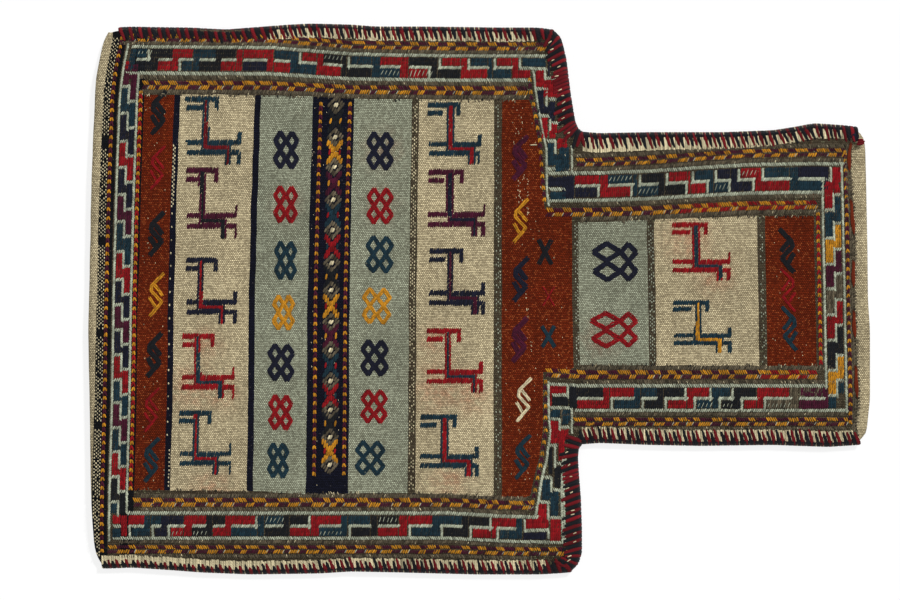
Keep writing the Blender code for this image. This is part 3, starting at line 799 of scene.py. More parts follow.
def sew_path(wool, points, stitch=3.6, width=2.5):
    """Stitches end to end along a line of points."""
    for (ax, ay), (bx, by) in zip(points, points[1:]):
        reach = math.hypot(bx - ax, by - ay)
        count = max(1, round(reach / stitch))
        share = (np.arange(count) + 0.5) / count
        turn = math.degrees(math.atan2(bx - ax, -(by - ay)))
        sew(wool, ax + (bx - ax) * share, ay + (by - ay) * share, turn, reach / count + PATH_OVERLAP, width)


print("ways of sewing: a run, across, down, along a path")

# %% [markdown]
# ## Figures
#
# A figure is a rule that says which dye a square has. The rule is tried on every weft column in the
# figure's box, half a square at a time, and each stretch of one dye becomes a run of stitches. That gives
# the same stepped edges as the loom does.

# %% Weaving a rule into stitches
COLUMN = 2.0            # squares from one weft column to the next
HALF_STEP = 0.25        # half of the step at which a rule is tried
MARGIN = 10             # the box grows by this, because the wefts lean


def weave_figure(rule, box, wools, slant=12.0, width=2.75):
    """rule(x, y) gives an index into wools, or -1 for bare ground; box is left, top, right, bottom."""
    left, top, right, bottom = box
    y = np.arange(top, bottom + HALF_STEP, 2 * HALF_STEP)
    for u in np.arange(COLUMN * math.floor((left - MARGIN) / COLUMN), right + MARGIN, COLUMN):
        found = rule(lean_x(u, y), y)
        changes = np.flatnonzero(np.diff(found)) + 1
        bounds = np.concatenate(([0], changes, [len(y)]))
        for start, end in zip(bounds, bounds[1:]):
            if found[start] >= 0 and end > start + 1:
                wool = wools[found[start]]
                sew_run(wool, u, y[start] - HALF_STEP, y[end - 1] + HALF_STEP, slant, width=width)


def near(x, y, points, half):
    """True where a square is within half of a line through the points."""
    close = np.zeros(np.shape(x), bool)
    for (ax, ay), (bx, by) in zip(points, points[1:]):
        projected = ((x - ax) * (bx - ax) + (y - ay) * (by - ay)) / ((bx - ax) ** 2 + (by - ay) ** 2)
        along = np.clip(projected, 0, 1)
        close |= np.hypot(x - ax - along * (bx - ax), y - ay - along * (by - ay)) < half
    return close


def within(x, y, left, top, right, bottom):
    """True where a square is inside a box."""
    return (x >= left) & (x <= right) & (y >= top) & (y <= bottom)


print("columns in a figure 50 squares wide:", round(50 / COLUMN))

# %% [markdown]
# ### Goats
#
# Each goat stands on its side: a trunk down the sheet, legs, horns and tail across it. All twelve share
# one drawing of boxes in a frame of their own, which is stretched to each goat's box. A thin spine of a
# second dye runs down the trunk and into the neck.

# %% Goats
GOAT_FRAME = (52.0, 65.0)
GOAT_LIMBS = [      # left, top, right, bottom in the goat's own frame
    (0, 0, 31, 4.6), (27.6, 0, 31, 13), (0, 8.2, 15, 12.8), (0.5, 41.8, 50.5, 46.2), (48, 34, 51, 46),
    (0.5, 51.6, 50, 56), (47.5, 53, 50.5, 65),
]
GOATS = [       # box on the cartoon, outline, spine, body's left side and neck's left side in its frame
    ((186, 97, 242, 164), "teal", "wine", 15, 36), ((187, 168, 239, 238), "plum", "black", 12, 33),
    ((186, 258, 238, 323), "navy", "crimson", 11.5, 32.5), ((182, 334, 236, 398), "crimson", "teal", 12, 34),
    ((179, 411, 233, 474), "teal", "crimson", 13, 32.5), ((428, 103, 482, 164), "teal", "crimson", 18.5, 39),
    ((428, 170, 487, 236), "plum", "navy", 16.5, 38), ((429, 249, 486, 314), "navy", "plum", 16.3, 39.2),
    ((427, 329, 484, 392), "crimson", "teal", 16, 40), ((420, 415, 480, 476), "teal", "crimson", 18, 39),
    ((672, 223, 732, 280), "crimson", "teal", 18, 38.5), ((674, 301, 733, 352), "teal", "gold", 18, 37),
]
BODY_WIDTH, NECK_WIDTH, SPINE = 6.4, 6.0, 1.5


def goat_rule(box, body_left, neck_left):
    """The rule of one goat: 0 for its outline, 1 for its spine."""
    left, top, right, bottom = box
    trunk = [(body_left, 2, body_left + BODY_WIDTH, 53), (body_left, 45, neck_left + NECK_WIDTH, 53),
             (neck_left, 50, neck_left + NECK_WIDTH, 65)]
    middle, throat = body_left + BODY_WIDTH / 2, neck_left + NECK_WIDTH / 2

    def rule(x, y):
        gx = (x - left) / (right - left) * GOAT_FRAME[0]
        gy = (y - top) / (bottom - top) * GOAT_FRAME[1]
        body = np.zeros(np.shape(x), bool)
        for limb in GOAT_LIMBS + trunk:
            body |= within(gx, gy, *limb)
        spine = near(gx, gy, [(middle, 4), (middle, 49), (throat, 49), (throat, 66)], SPINE) & body
        return np.where(spine, 1, np.where(body, 0, -1))
    return rule


for box, outline, spine, body_left, neck_left in GOATS:
    weave_figure(goat_rule(box, body_left, neck_left), box, (outline, spine))
print("goats:", len(GOATS))

# %% [markdown]
# ### Hooks and crosses
#
# The hooks and the crosses have lines too thin and slanting for the rule of squares. They are sewn along
# their strokes instead. A stroke is made of strands side by side, so its breadth can be set. The hooks
# near the mouth are the mirror image of the others.

# %% Double hooks and small diagonal crosses in the rust bands
HOOK_STROKES = [
    [(6.8, -21.5), (-5.0, -9.5), (-5.7, -4), (4.6, 7), (0.5, 12.5), (-7, 21)],
    [(-2, -9.5), (5.3, 0)],
    [(-7, 3), (-2, 11.5)],
]
HOOK_BREADTHS = {"gold": 3.3, "crimson": 2.8, "cream": 3.2, "teal": 4.2, "plum": 5.4, "black": 5.0,
                 "navy": 5.0}
HOOKS = [       # middle, dye, hand
    ((159, 113), "black", 1), ((158, 168), "crimson", 1), ((157, 234), "black", 1), ((157, 295), "gold", 1),
    ((155, 355), "black", 1), ((152, 410), "crimson", 1), ((152, 460), "teal", 1), ((520.5, 158), "plum", 1),
    ((521, 221), "gold", 1), ((521, 279.5), "navy", 1), ((520, 340), "plum", 1), ((524, 400), "cream", 1),
    ((523, 457), "teal", 1), ((786.5, 251), "black", -1), ((787.5, 290), "crimson", -1),
    ((789, 329), "teal", -1),
]
DIAGONAL_CROSSES = [        # middle, dye, half width, half height, breadth of its strokes
    ((545, 252), "black", 6.2, 12, 4.6), ((548.7, 296.3), "crimson", 5.6, 9, 1.6),
    ((548.3, 336.6), "teal", 6.0, 10, 4.0),
]
STRAND_PITCH, STRAND_WIDTH = 1.35, 2.1
OUTER_STRANDS_IN = 1.6      # the outer strands' own width, kept inside the stroke


def stroke(wool, points, breadth, stitch=3.4):
    """A line of this breadth, sewn as strands side by side."""
    strands = max(1, round(breadth / STRAND_PITCH))
    lanes = (np.arange(strands) - (strands - 1) / 2) * (breadth - OUTER_STRANDS_IN) / max(1, strands - 1)
    for (ax, ay), (bx, by) in zip(points, points[1:]):
        reach = math.hypot(bx - ax, by - ay)
        side_x, side_y = (by - ay) / reach, (ax - bx) / reach
        for lane in lanes:
            start = (ax + side_x * lane, ay + side_y * lane)
            end = (bx + side_x * lane, by + side_y * lane)
            sew_path(wool, [start, end], stitch, STRAND_WIDTH)


for (x, y), wool, hand in HOOKS:
    for points in HOOK_STROKES:
        stroke(wool, [(x + hand * dx, y + dy) for dx, dy in points], HOOK_BREADTHS[wool])
for (x, y), wool, half_x, half_y, breadth in DIAGONAL_CROSSES:
    for slope in (-1, 1):
        stroke(wool, [(x - half_x * slope, y - half_y), (x + half_x * slope, y + half_y)], breadth)
print("hooks:", len(HOOKS), "diagonal crosses:", len(DIAGONAL_CROSSES))

# %% Crosses of four open diamonds
CROSSES = [     # box, dye
    ((273, 130, 299, 170), "navy"), ((273, 185, 298, 224), "crimson"), ((274, 240, 297, 281), "teal"),
    ((272, 294, 295, 331), "gold"), ((267, 343, 295, 382), "navy"), ((268, 394, 293, 431), "crimson"),
    ((267, 442, 289, 479), "teal"), ((366, 131, 394, 171), "navy"), ((366, 187, 394, 225), "crimson"),
    ((365, 235, 394, 274), "teal"), ((361, 287, 392, 325), "gold"), ((360, 339, 389, 377), "navy"),
    ((360, 389, 388, 424), "crimson"), ((354, 440, 386, 476), "teal"), ((590, 240, 638, 283), "navy"),
    ((588, 310, 638, 349), "crimson"),
]
NARROW_DIAMONDS = [     # middle and half size, as shares of the box
    (0.29, 0.27, 0.20, 0.22), (0.73, 0.28, 0.20, 0.22), (0.28, 0.72, 0.20, 0.22), (0.72, 0.73, 0.20, 0.22),
]
WIDE_DIAMONDS = [
    (0.35, 0.28, 0.28, 0.20), (0.80, 0.29, 0.16, 0.20), (0.36, 0.73, 0.27, 0.20), (0.80, 0.72, 0.16, 0.20),
]
WIDE_FROM = 40.0        # boxes wider than this hold a wide cross
BREADTHS = {"navy": 4.8, "crimson": 4.3, "teal": 4.3, "gold": 4.0}
WIDE_BROADER = 1.08
for (left, top, right, bottom), wool in CROSSES:
    width, height = right - left, bottom - top
    wide = width > WIDE_FROM
    for mid_x, mid_y, half_x, half_y in WIDE_DIAMONDS if wide else NARROW_DIAMONDS:
        x, y = left + mid_x * width, top + mid_y * height
        ring = [(x - half_x * width, y), (x, y - half_y * height), (x + half_x * width, y),
                (x, y + half_y * height), (x - half_x * width, y)]
        stroke(wool, ring, BREADTHS[wool] * (WIDE_BROADER if wide else 1.0))
print("crosses:", len(CROSSES))

# %% [markdown]
# ### The chain
#
# Down the navy band goes a chain: open umber diamonds with a cream spot, and between each two a small
# cross with a chip of a second dye at either side. Both are rules again.

# %% Rules of the chain
DIAMOND_HALF_X, DIAMOND_HALF_Y = 8.5, 9.5
LINK_HALF_X, LINK_HALF_Y = 8, 12


def open_diamond_rule(middle):
    """An open diamond with a spot in it."""
    def rule(x, y):
        away = np.abs(x - middle[0]) / DIAMOND_HALF_X + np.abs(y - middle[1]) / DIAMOND_HALF_Y
        return np.where(away < 0.30, 1, np.where((away < 1) & (away > 0.55), 0, -1))
    return rule


def linked_cross_rule(middle):
    """A diagonal cross with a chip at either side."""
    def rule(x, y):
        dx, dy = np.abs(x - middle[0]), np.abs(y - middle[1])
        arms = (np.abs(dx - dy * 0.66) < 2.3) & (dx < LINK_HALF_X) & (dy < LINK_HALF_Y)
        chips = (dx > 3.2) & (dx < 6.5) & (dy < 2.2)
        return np.where(arms, 0, np.where(chips, 1, -1))
    return rule


# %% The chain in the middle band
CHAIN_MIDDLE = 331.0
CHAIN_Y = [105, 137, 167, 200, 230, 263, 290, 322, 350, 381, 410, 437, 465]
CHAIN_DYES = [("black", "gold"), ("gold", "crimson"), ("plum", "gold"), ("teal", "crimson"),
              ("crimson", "teal")]
HALF_BOX_X, HALF_BOX_Y, HALF_LINK_Y = 9, 9, 13


def chain_figure(make_rule, y, half_y, wools, slant):
    """One figure of the chain at height y."""
    middle = (float(lean_x(CHAIN_MIDDLE, y)), y)
    box = (middle[0] - HALF_BOX_X, y - half_y, middle[0] + HALF_BOX_X, y + half_y)
    weave_figure(make_rule(middle), box, wools, slant=slant)


for index, y in enumerate(CHAIN_Y):
    chain_figure(open_diamond_rule, y, HALF_BOX_Y, ("umber", "cream"), 28)
    if index + 1 < len(CHAIN_Y):
        dyes = CHAIN_DYES[index % len(CHAIN_DYES)]
        chain_figure(linked_cross_rule, (y + CHAIN_Y[index + 1]) / 2, HALF_LINK_Y, dyes, 12.0)
print("links in the chain:", 2 * len(CHAIN_Y) - 1)

# %% [markdown]
# ## Borders
#
# Every border is built in the same order from outside to inside: a guard of gold and plum checks, a pale
# line, a meander of hooked blocks, a pale line, and a second guard. The lines of one border bend
# together, so each border keeps its lines as offsets from one curve.

# %% Curves of the borders across the cloth
BORDER_BEND = {     # how far the border's lines are pushed down at each x
    "body_top": ((110, 130, 270, 350, 450, 560), (0, 0, 0.1, 0.8, 1, 1)),
    "body_bottom": ((110, 450, 500, 560), (0, 0, 0.6, 1)),
    "neck_top": ((545, 600, 650, 700, 750, 800, 850), (1.05, 1, 0.8, 0.42, 0.1, 0, 0)),
    "neck_bottom": ((545, 580, 850), (-0.6, 0, 0)),
}
BORDERS = {         # each line as (y, push)
    "body_top": {"outer_guard": (37.5, 9), "outer_line": (46.5, 9.5), "top": (49, 9.5),
                 "divider": (59.5, 8.5), "bottom": (70.5, 8), "inner_line": (73.3, 7),
                 "inner_guard": (85, 5.7)},
    "body_bottom": {"inner_guard": (502.3, 4), "inner_line": (513, 5), "top": (516, 4),
                    "divider": (525.8, 4), "bottom": (535.5, 4), "outer_line": (538, 4.5),
                    "outer_guard": (549.3, 2.5)},
    "neck_top": {"outer_guard": (152.7, 9.5), "outer_line": (164, 9), "top": (167.5, 8.5),
                 "divider": (178.8, 7), "bottom": (190, 7), "inner_line": (192.3, 8),
                 "inner_guard": (205, 7)},
    "neck_bottom": {"inner_guard": (374.5, 3), "inner_line": (385.7, 3), "top": (388, 3),
                    "divider": (398.3, 3), "bottom": (408, 3), "outer_line": (410.2, 2),
                    "outer_guard": (421.5, 0)},
}
x_fine = np.arange(90.0, 880.0, 5.0)


def border_line(border, line):
    """One line of a border, as arrays of x and y."""
    y, push = BORDERS[border][line]
    return x_fine, y + push * np.interp(x_fine, *BORDER_BEND[border])


print("borders across:", list(BORDERS))

# %% Guards of gold checks
GUARD_HALF = 2.35       # squares from a guard's middle to each of its rows


def sew_guard(border, line, x_start, x_end, second="plum"):
    """Two rows of stitches that lean against each other, with gold checks that change rows."""
    xs, ys = border_line(border, line)
    x, row = x_start, 0
    while x < x_end:
        reach = min(x_end, x + chance.uniform(5.5, 13))
        for side, wool in ((row, "gold"), (1 - row, second)):
            y = ys + (-GUARD_HALF if side == 0 else GUARD_HALF)
            overlap = chance.uniform(-1, 1) if wool == "gold" else 0.0
            sew_across(wool, x - overlap, reach, (xs, y), pitch=2.15, slant=-30 if side == 0 else 30,
                       length=chance.uniform(4.4, 5.4), width=1.9)
        if chance.random() < 0.4:
            sew("pale", reach, np.interp(reach, xs, ys) + 2.3, 30, 4.0, 1.0, 0.0002)
        x, row = reach, 1 - row


sew_guard("body_top", "outer_guard", 128, 552)
sew_guard("body_top", "inner_guard", 142, 526)
sew_guard("body_bottom", "inner_guard", 134, 532)
sew_guard("body_bottom", "outer_guard", 107, 566)
sew_guard("neck_top", "outer_guard", 577, 845)
sew_guard("neck_top", "inner_guard", 546, 680)
sew_guard("neck_top", "inner_guard", 680, 816, second="crimson")
sew_guard("neck_bottom", "inner_guard", 546, 760)
sew_guard("neck_bottom", "inner_guard", 760, 816, second="crimson")
sew_guard("neck_bottom", "outer_guard", 574, 848)
print("gold stitches in the guards:", sum(len(rows) for rows in stitch_book["gold"]))

# %% Pale lines across the cloth
LINES_ACROSS = [("body_top", "outer_line", 131, 548, 30), ("body_top", "inner_line", 126, 528, -30),
                ("body_bottom", "inner_line", 128, 538, 30), ("body_bottom", "outer_line", 112, 560, -30),
                ("neck_top", "outer_line", 548, 846, -30), ("neck_top", "inner_line", 549, 822, 30),
                ("neck_bottom", "inner_line", 550, 826, -30), ("neck_bottom", "outer_line", 575, 848, 30)]
for border, line, x_start, x_end, slant in LINES_ACROSS:
    sew_across("pale", x_start, x_end, border_line(border, line), slant=slant)
print("pale lines across:", len(LINES_ACROSS))

# %% Meander across the cloth
HATCHED_SHARE = 0.16        # of the blocks, those with slanting lights in them
RISER_IN, CLEAR_OF_RISER = 1.2, 2.0
GAP_BY_DIVIDER = 1.8
HATCH_FROM_DIVIDER = 6.2


def meander(border, bars, hand, default=""):
    """Bars of colour joined by an upper and a lower row. Marks u and l add pale uprights after a bar."""
    forward = hand == "forward"
    lines = {name: border_line(border, name) for name in ("top", "divider", "bottom")}

    def at(name, x):
        return float(np.interp(x, *lines[name]))

    for (left, right, wool, *marks), following in zip(bars, bars[1:] + [None]):
        for x in np.arange(left + 1, right, COLUMN):
            sew_run(wool, float(weft_at(x, at("divider", x))), at("top", x), at("bottom", x))
        if following is None:
            continue
        marks = marks[0] if marks else default
        upper, lower = (wool, following[2]) if forward else (following[2], wool)
        if wool == following[2]:
            upper, lower = wool, "navy"
        first, last = right + 0.5, following[0] - 0.5
        ends = (first + RISER_IN, last - RISER_IN)
        lower_riser, upper_riser = ends if forward else ends[::-1]
        upper_hatched, lower_hatched = chance.random(2) < HATCHED_SHARE
        for x in np.arange(right + 1, following[0], COLUMN):
            column = float(weft_at(x, at("divider", x)))
            if "u" not in marks or abs(x - upper_riser) > CLEAR_OF_RISER:
                sew_run(upper, column, at("top", x), at("divider", x) - GAP_BY_DIVIDER)
            if "l" not in marks or abs(x - lower_riser) > CLEAR_OF_RISER:
                sew_run(lower, column, at("divider", x) + GAP_BY_DIVIDER, at("bottom", x))
            for part, hatched in ((-HATCH_FROM_DIVIDER, upper_hatched), (HATCH_FROM_DIVIDER, lower_hatched)):
                if hatched and int((x - right) / COLUMN) % 2 == 0:
                    sew("pale", x + 1.0, at("divider", x) + part, 24, chance.uniform(4.5, 8.0), 0.8, 0.0002)
        sew_across("pale", first - 0.4, last + 0.4, lines["divider"], slant=34, length=4.0, width=2.2)
        if "u" in marks:
            sew_down("pale", at("top", upper_riser) + 0.5, at("divider", upper_riser) + 1.2,
                     ((0, 900), (upper_riser, upper_riser)), slant=20)
        if "l" in marks:
            sew_down("pale", at("divider", lower_riser) - 1.0, at("bottom", lower_riser) - 0.5,
                     ((0, 900), (lower_riser, lower_riser)), slant=20)


meander("body_top", [(129, 136, "teal", "u"), (150, 158, "black"), (172, 178, "crimson", "l"),
                     (193, 199, "teal"), (215, 221, "black"), (236, 243, "crimson"),
                     (267, 273, "crimson")], "forward")
meander("body_top", [(273, 274, "crimson"), (290, 298, "teal", "u"), (317, 323, "crimson"),
                     (342, 347, "black", "u"), (372, 380, "teal"), (400, 409, "crimson", "l"),
                     (431, 438, "black", "u"), (461, 467, "crimson", "u"), (488, 493, "teal", "u"),
                     (512, 518, "crimson")], "backward")
meander("body_bottom", [(121, 128, "crimson", "l"), (144, 151, "teal", "l"), (161, 167, "navy")], "forward")
meander("body_bottom", [(166, 167, "navy", "l"), (184, 192, "crimson"), (206, 213, "black"),
                        (225, 231, "crimson", "u"), (258, 265, "teal"), (283, 290, "black", "u"),
                        (311, 319, "crimson"), (341, 348, "teal", "l"), (371, 378, "black"),
                        (399, 408, "crimson", "l"), (432, 440, "teal", "l"), (462, 469, "black", "ul"),
                        (492, 496, "crimson", "l"), (516, 522, "teal")], "forward")
meander("neck_top", [(562, 575, "navy"), (600, 608, "crimson"), (633, 638, "teal", "u"),
                     (658, 665, "black", "ul"), (688, 691, "crimson", "ul"), (709, 714, "teal", "ul"),
                     (731, 737, "navy", "ul"), (755, 761, "crimson", "u"), (790, 798, "teal"),
                     (824, 829, "navy")], "backward", "l")
meander("neck_bottom", [(569, 577, "black"), (603, 610, "crimson", "l"), (634, 641, "teal", "l"),
                        (657, 664, "black", "ul"), (687, 693, "crimson", "ul"), (712, 718, "teal", "ul"),
                        (734, 740, "black", "l"), (757, 763, "crimson", "l"), (790, 799, "umber"),
                        (824, 828, "plum")], "forward")

# %% Meander down the cloth
def meander_down(left_columns, right_columns, seam, changes, lag, last, first_dye):
    """Two columns of blocks: each new dye starts lag squares later in the right column."""
    starts = [start for start, wool in changes] + [last]
    dyes = [wool for start, wool in changes]
    for columns, shift in ((left_columns, 0.0), (right_columns, lag)):
        bounds = [changes[0][0] - 20] + [start + shift for start in starts]
        for wool, start, end in zip([first_dye] + dyes, bounds, bounds[1:]):
            end = min(end, last)
            pale_end = start + 3.6 if start != bounds[0] else start
            for u in columns:
                sew_run(wool, u, pale_end, end, width=2.3)
                if start != bounds[0] and start < last:
                    sew("pale", lean_x(u, start + 1.8), start + 1.8, 30, 3.8, 1.9)
    for start, wool in changes:
        low, high = sorted((start, start + lag))
        sew_down("pale", low, min(high, last) + 3.0, seam, slant=-18)
    for (start, wool), (following, _) in zip(changes, changes[1:]):
        from_y, to_y = max(start, start + lag) + 3.4, min(following, following + lag)
        sew_run(wool, seam, from_y, to_y, width=2.3)


LEFT_CHANGES = [(85, "teal"), (111.5, "navy"), (139.7, "crimson"), (165.8, "navy"), (192.8, "plum"),
                (220, "teal"), (250, "crimson"), (278, "navy"), (303, "plum"), (328, "navy"),
                (353, "crimson"), (378, "teal"), (401, "plum"), (426, "teal"), (450, "crimson"),
                (475, "black"), (500, "teal")]
meander_down((116.2, 118.2, 120.2), (124.6, 126.6, 128.4), 122.4, LEFT_CHANGES, 14.6, 513, "plum")
MOUTH_CHANGES = [(208, "teal"), (236.5, "gold"), (262.5, "plum"), (287, "umber"), (313, "crimson"),
                 (338.5, "black"), (368.5, "gold"), (393.5, "teal")]
meander_down((827.4, 829.4, 831.4, 833.2), (837.2, 839.2, 841.2), 835.2, MOUTH_CHANGES, -15.0, 408,
             "crimson")
print("blocks down the cloth:", 2 * (len(LEFT_CHANGES) + len(MOUTH_CHANGES)))

# %% Pale lines down the cloth
for u, y_start, y_end, slant in ((113.6, 44, 540, 20), (131.0, 74, 513, -20), (824.4, 190, 388, 20),
                                 (844.4, 165, 410, -20)):
    sew_down("pale", y_start, y_end, u, slant=slant)
UPPER_INNER = ((71, 90, 105, 125, 140, 150, 190, 204),
               (533.5, 535.5, 538, 541.5, 544.5, 546.5, 546.8, 548.5))
LOWER_INNER = ((383, 400, 420, 432, 445, 460, 480, 500, 516),
               (548.5, 548.5, 549, 550.5, 548.5, 546.5, 541.5, 538.5, 535.5))
sew_down("pale", 71, 204, UPPER_INNER, slant=-20)
sew_down("pale", 382, 516, LOWER_INNER, slant=-20)
sew_down("pale", 455, 542, ((455, 480, 500, 540), (563.2, 561.8, 561.6, 562.8)), slant=28, length=3.4)
sew_down("pale", 455, 542, ((455, 480, 500, 540), (565.6, 564.2, 564.0, 565.2)), slant=-28, length=3.4)
print("pale stitches so far:", sum(len(rows) for rows in stitch_book["pale"]))

# %% Blocks of the two shoulder borders
THIN = 3.2      # squares; a block narrower than this is one row of stitches
SHOULDER_BLOCKS = [     # dye, left, top, right, bottom
    ("teal", 522, 59, 546, 66), ("pale", 518.5, 58, 521.5, 70), ("pale", 519, 66.5, 546, 70.5),
    ("pale", 543.5, 70, 546.5, 79), ("pale", 544, 76, 558, 79.5), ("navy", 547.5, 59, 550.5, 75.5),
    ("crimson", 519, 70.8, 530, 77.5), ("crimson", 536, 71, 542.5, 86), ("crimson", 543, 80, 556, 96.5),
    ("pale", 536, 87, 546.5, 90), ("pale", 545, 90, 548, 105.5), ("navy", 537.5, 90.5, 544, 113),
    ("navy", 544, 106, 550, 113), ("navy", 549.5, 102, 554.5, 120), ("pale", 549, 97, 558, 100.5),
    ("pale", 541, 113.8, 549, 117.5), ("pale", 548.8, 117, 551.5, 131), ("crimson", 542, 118, 548, 138),
    ("crimson", 549, 131, 556, 138), ("crimson", 552, 124, 556, 131), ("pale", 552, 121, 561, 124.5),
    ("pale", 547, 139, 554, 143), ("pale", 554, 140, 556.5, 153), ("crimson", 557, 139, 567, 149),
    ("teal", 547.5, 144, 553.5, 165), ("teal", 554, 155, 569.5, 165), ("teal", 560, 148, 569.5, 155),
    ("teal", 556, 165, 569.5, 171), ("pale", 570.5, 146, 573.5, 171), ("pale", 547.5, 166, 555.5, 172),
    ("navy", 548.5, 177.5, 574, 186), ("pale", 549, 187, 565, 191.5), ("navy", 566, 186, 574, 199),
    ("teal", 549.5, 192.5, 565.5, 200), ("crimson", 552, 385.5, 566, 393),
    ("crimson", 549.8, 386, 551.6, 406), ("pale", 566.5, 386, 569, 396), ("pale", 552, 393, 568, 397),
    ("black", 552.5, 397.5, 569, 405), ("black", 569.5, 386, 577, 405.5), ("pale", 550, 405.8, 571, 409.5),
    ("pale", 570.5, 409, 573, 432), ("teal", 551, 410, 560.5, 416.5), ("teal", 563, 410, 569.5, 424),
    ("umber", 560.8, 410, 562.6, 421), ("pale", 550.5, 417, 558, 420.5), ("pale", 558, 418, 561, 428.5),
    ("pale", 561, 425, 568, 428.8), ("crimson", 550.5, 421, 557.5, 442.5), ("crimson", 558, 429, 569, 440),
    ("crimson", 557.5, 440, 565, 460), ("pale", 549, 443, 557, 447.5), ("pale", 553.5, 447, 556.5, 467),
    ("pale", 557, 461.5, 564, 466), ("black", 547.5, 448.5, 553, 474),
    ("black", 553.5, 467.5, 561.5, 487.5), ("pale", 544.5, 475.5, 552, 479.5),
    ("pale", 549.8, 479, 552.6, 492), ("pale", 553, 488.5, 560, 492), ("teal", 541.5, 480.5, 549.5, 499.5),
    ("teal", 550, 492.5, 559.5, 515.5), ("pale", 540, 500.5, 549, 504), ("pale", 546.8, 504, 549.4, 519),
    ("pale", 549, 516, 559.5, 519.5), ("crimson", 538.5, 504.5, 546, 519),
    ("crimson", 526, 519.5, 549, 527.5), ("crimson", 549.5, 520, 560, 541), ("pale", 523.5, 520, 526, 531),
    ("pale", 524, 528.5, 547, 532), ("pale", 547, 529, 549.5, 538.5), ("navy", 524, 532.8, 546.5, 539),
    ("crimson", 113, 516, 121, 523), ("crimson", 128, 516, 144, 522.5),
    ("teal", 112.5, 528.5, 120.5, 536.5), ("pale", 113, 524, 121, 527.8), ("plum", 129.5, 75.5, 136.5, 78),
    ("crimson", 125, 62, 128.8, 70), ("navy", 801, 167.5, 829, 176.5), ("pale", 800, 177.5, 829, 181),
    ("pale", 829.5, 167.5, 832, 181), ("crimson", 832.5, 168, 839.5, 189),
    ("crimson", 824.5, 182, 832.5, 204), ("teal", 799, 182, 823.5, 190), ("plum", 800, 388.5, 824, 396),
    ("plum", 804, 401, 826, 408),
]


def block_rule(box):
    """The rule of one plain block."""
    def rule(x, y):
        return np.where(within(x, y, *box), 0, -1)
    return rule


for wool, *box in SHOULDER_BLOCKS:
    thin = box[2] - box[0] < THIN
    if wool == "pale" and thin:
        sew_down("pale", box[1], box[3], ((0, 900), ((box[0] + box[2]) / 2,) * 2), slant=-18)
    elif wool == "pale":
        sew_across("pale", box[0], box[2], (box[1] + box[3]) / 2, slant=-32)
    elif thin:
        middle = (box[0] + box[2]) / 2
        sew_run(wool, float(weft_at(middle, (box[1] + box[3]) / 2)), box[1], box[3])
    else:
        weave_figure(block_rule(box), box, (wool,))
print("blocks:", len(SHOULDER_BLOCKS))

# %% [markdown]
# ## Beads and checks down the cloth
#
# Between the broad bands run narrow stripes: a chequer of pale dots on dark weft and lines of gold beads.
# Each bead is a pair of short stitches that lean together.

# %% Beads and dots
def beads(u, y_start, y_end, first, second, pitch=9.0, line=None):
    """Gold beads with a darker bead between each two, each made of two stitches in a chevron."""
    for offset, wool, size in ((0.0, first, 4.0), (pitch / 2, second, 5.4)):
        y = np.arange(y_start + offset, y_end, pitch)
        y = y + chance.uniform(-0.4, 0.4, len(y))
        x = np.interp(y, *line) if line else lean_x(u, y)
        sew(wool, x - 0.9, y, 14, size, 2.2)
        sew(wool, x + 0.9, y, -14, size, 2.2)


def dots(u, y_start, y_end, wool="cream", pitch=4.5, size=2.4):
    """A column of short upright stitches."""
    y = np.arange(y_start, y_end, pitch)
    sew(wool, lean_x(u, y), y + chance.uniform(-0.3, 0.3, len(y)), 0, size, 1.7)


beads(106.2, 38, 552, "gold", "plum")
beads(134.6, 92, 492, "gold", "crimson")
beads(819.4, 214, 366, "gold", "crimson")
beads(848.4, 152, 424, "gold", "plum")
UPPER_BEADS = ((80, 97, 105, 139, 185, 205), (529.5, 531, 533.5, 539.5, 543, 545))
LOWER_BEADS = ((382, 430, 460, 480, 510), (545.5, 545.5, 541.5, 537, 531))
beads(None, 80, 205, "gold", "plum", 12.0, UPPER_BEADS)
beads(None, 382, 510, "gold", "plum", 12.0, LOWER_BEADS)
print("gold stitches so far:", sum(len(rows) for rows in stitch_book["gold"]))

# %% Chequered stripes
CHEQUER_COLUMN, CHEQUER_PITCH = 1.9, 3.5
CHEQUERS = [    # first weft, columns, y from and to, wool, share of the dots that are there
    (97.6, 4, 38, 136, "cream", 0.92), (97.6, 4, 150, 236, "cream", 0.92),
    (97.6, 4, 246, 330, "cream", 0.92), (97.6, 4, 338, 420, "cream", 0.92),
    (97.6, 4, 430, 530, "cream", 0.92), (97.6, 4, 533, 564, "cream", 0.92),
    (410.2, 3, 104, 345, "cream", 0.8), (410.2, 3, 345, 490, "cream", 0.6),
    (496.0, 2, 104, 200, "pale", 0.4), (496.4, 3, 205, 300, "pale", 0.5),
    (496.2, 3, 300, 492, "pale", 0.35), (575.8, 2, 226, 364, "pale", 0.75),
    (649.8, 3, 224, 364, "pale", 0.7), (761.2, 3, 218, 364, "pale", 0.3),
]


def chequer(first_u, columns, y_start, y_end, wool, share):
    """Dots on every second crossing of the wefts, with some missing and none past the fold."""
    for column in range(columns):
        y = np.arange(y_start, y_end, CHEQUER_PITCH) + CHEQUER_PITCH / 2 * (column % 2)
        x = lean_x(first_u + CHEQUER_COLUMN * column, y)
        kept = (chance.random(len(y)) < share) & (x > edge_at("fold", y) + 2.0)
        sew(wool, x[kept], y[kept] + chance.uniform(-0.25, 0.25, kept.sum()), 0, 1.7, 1.4)


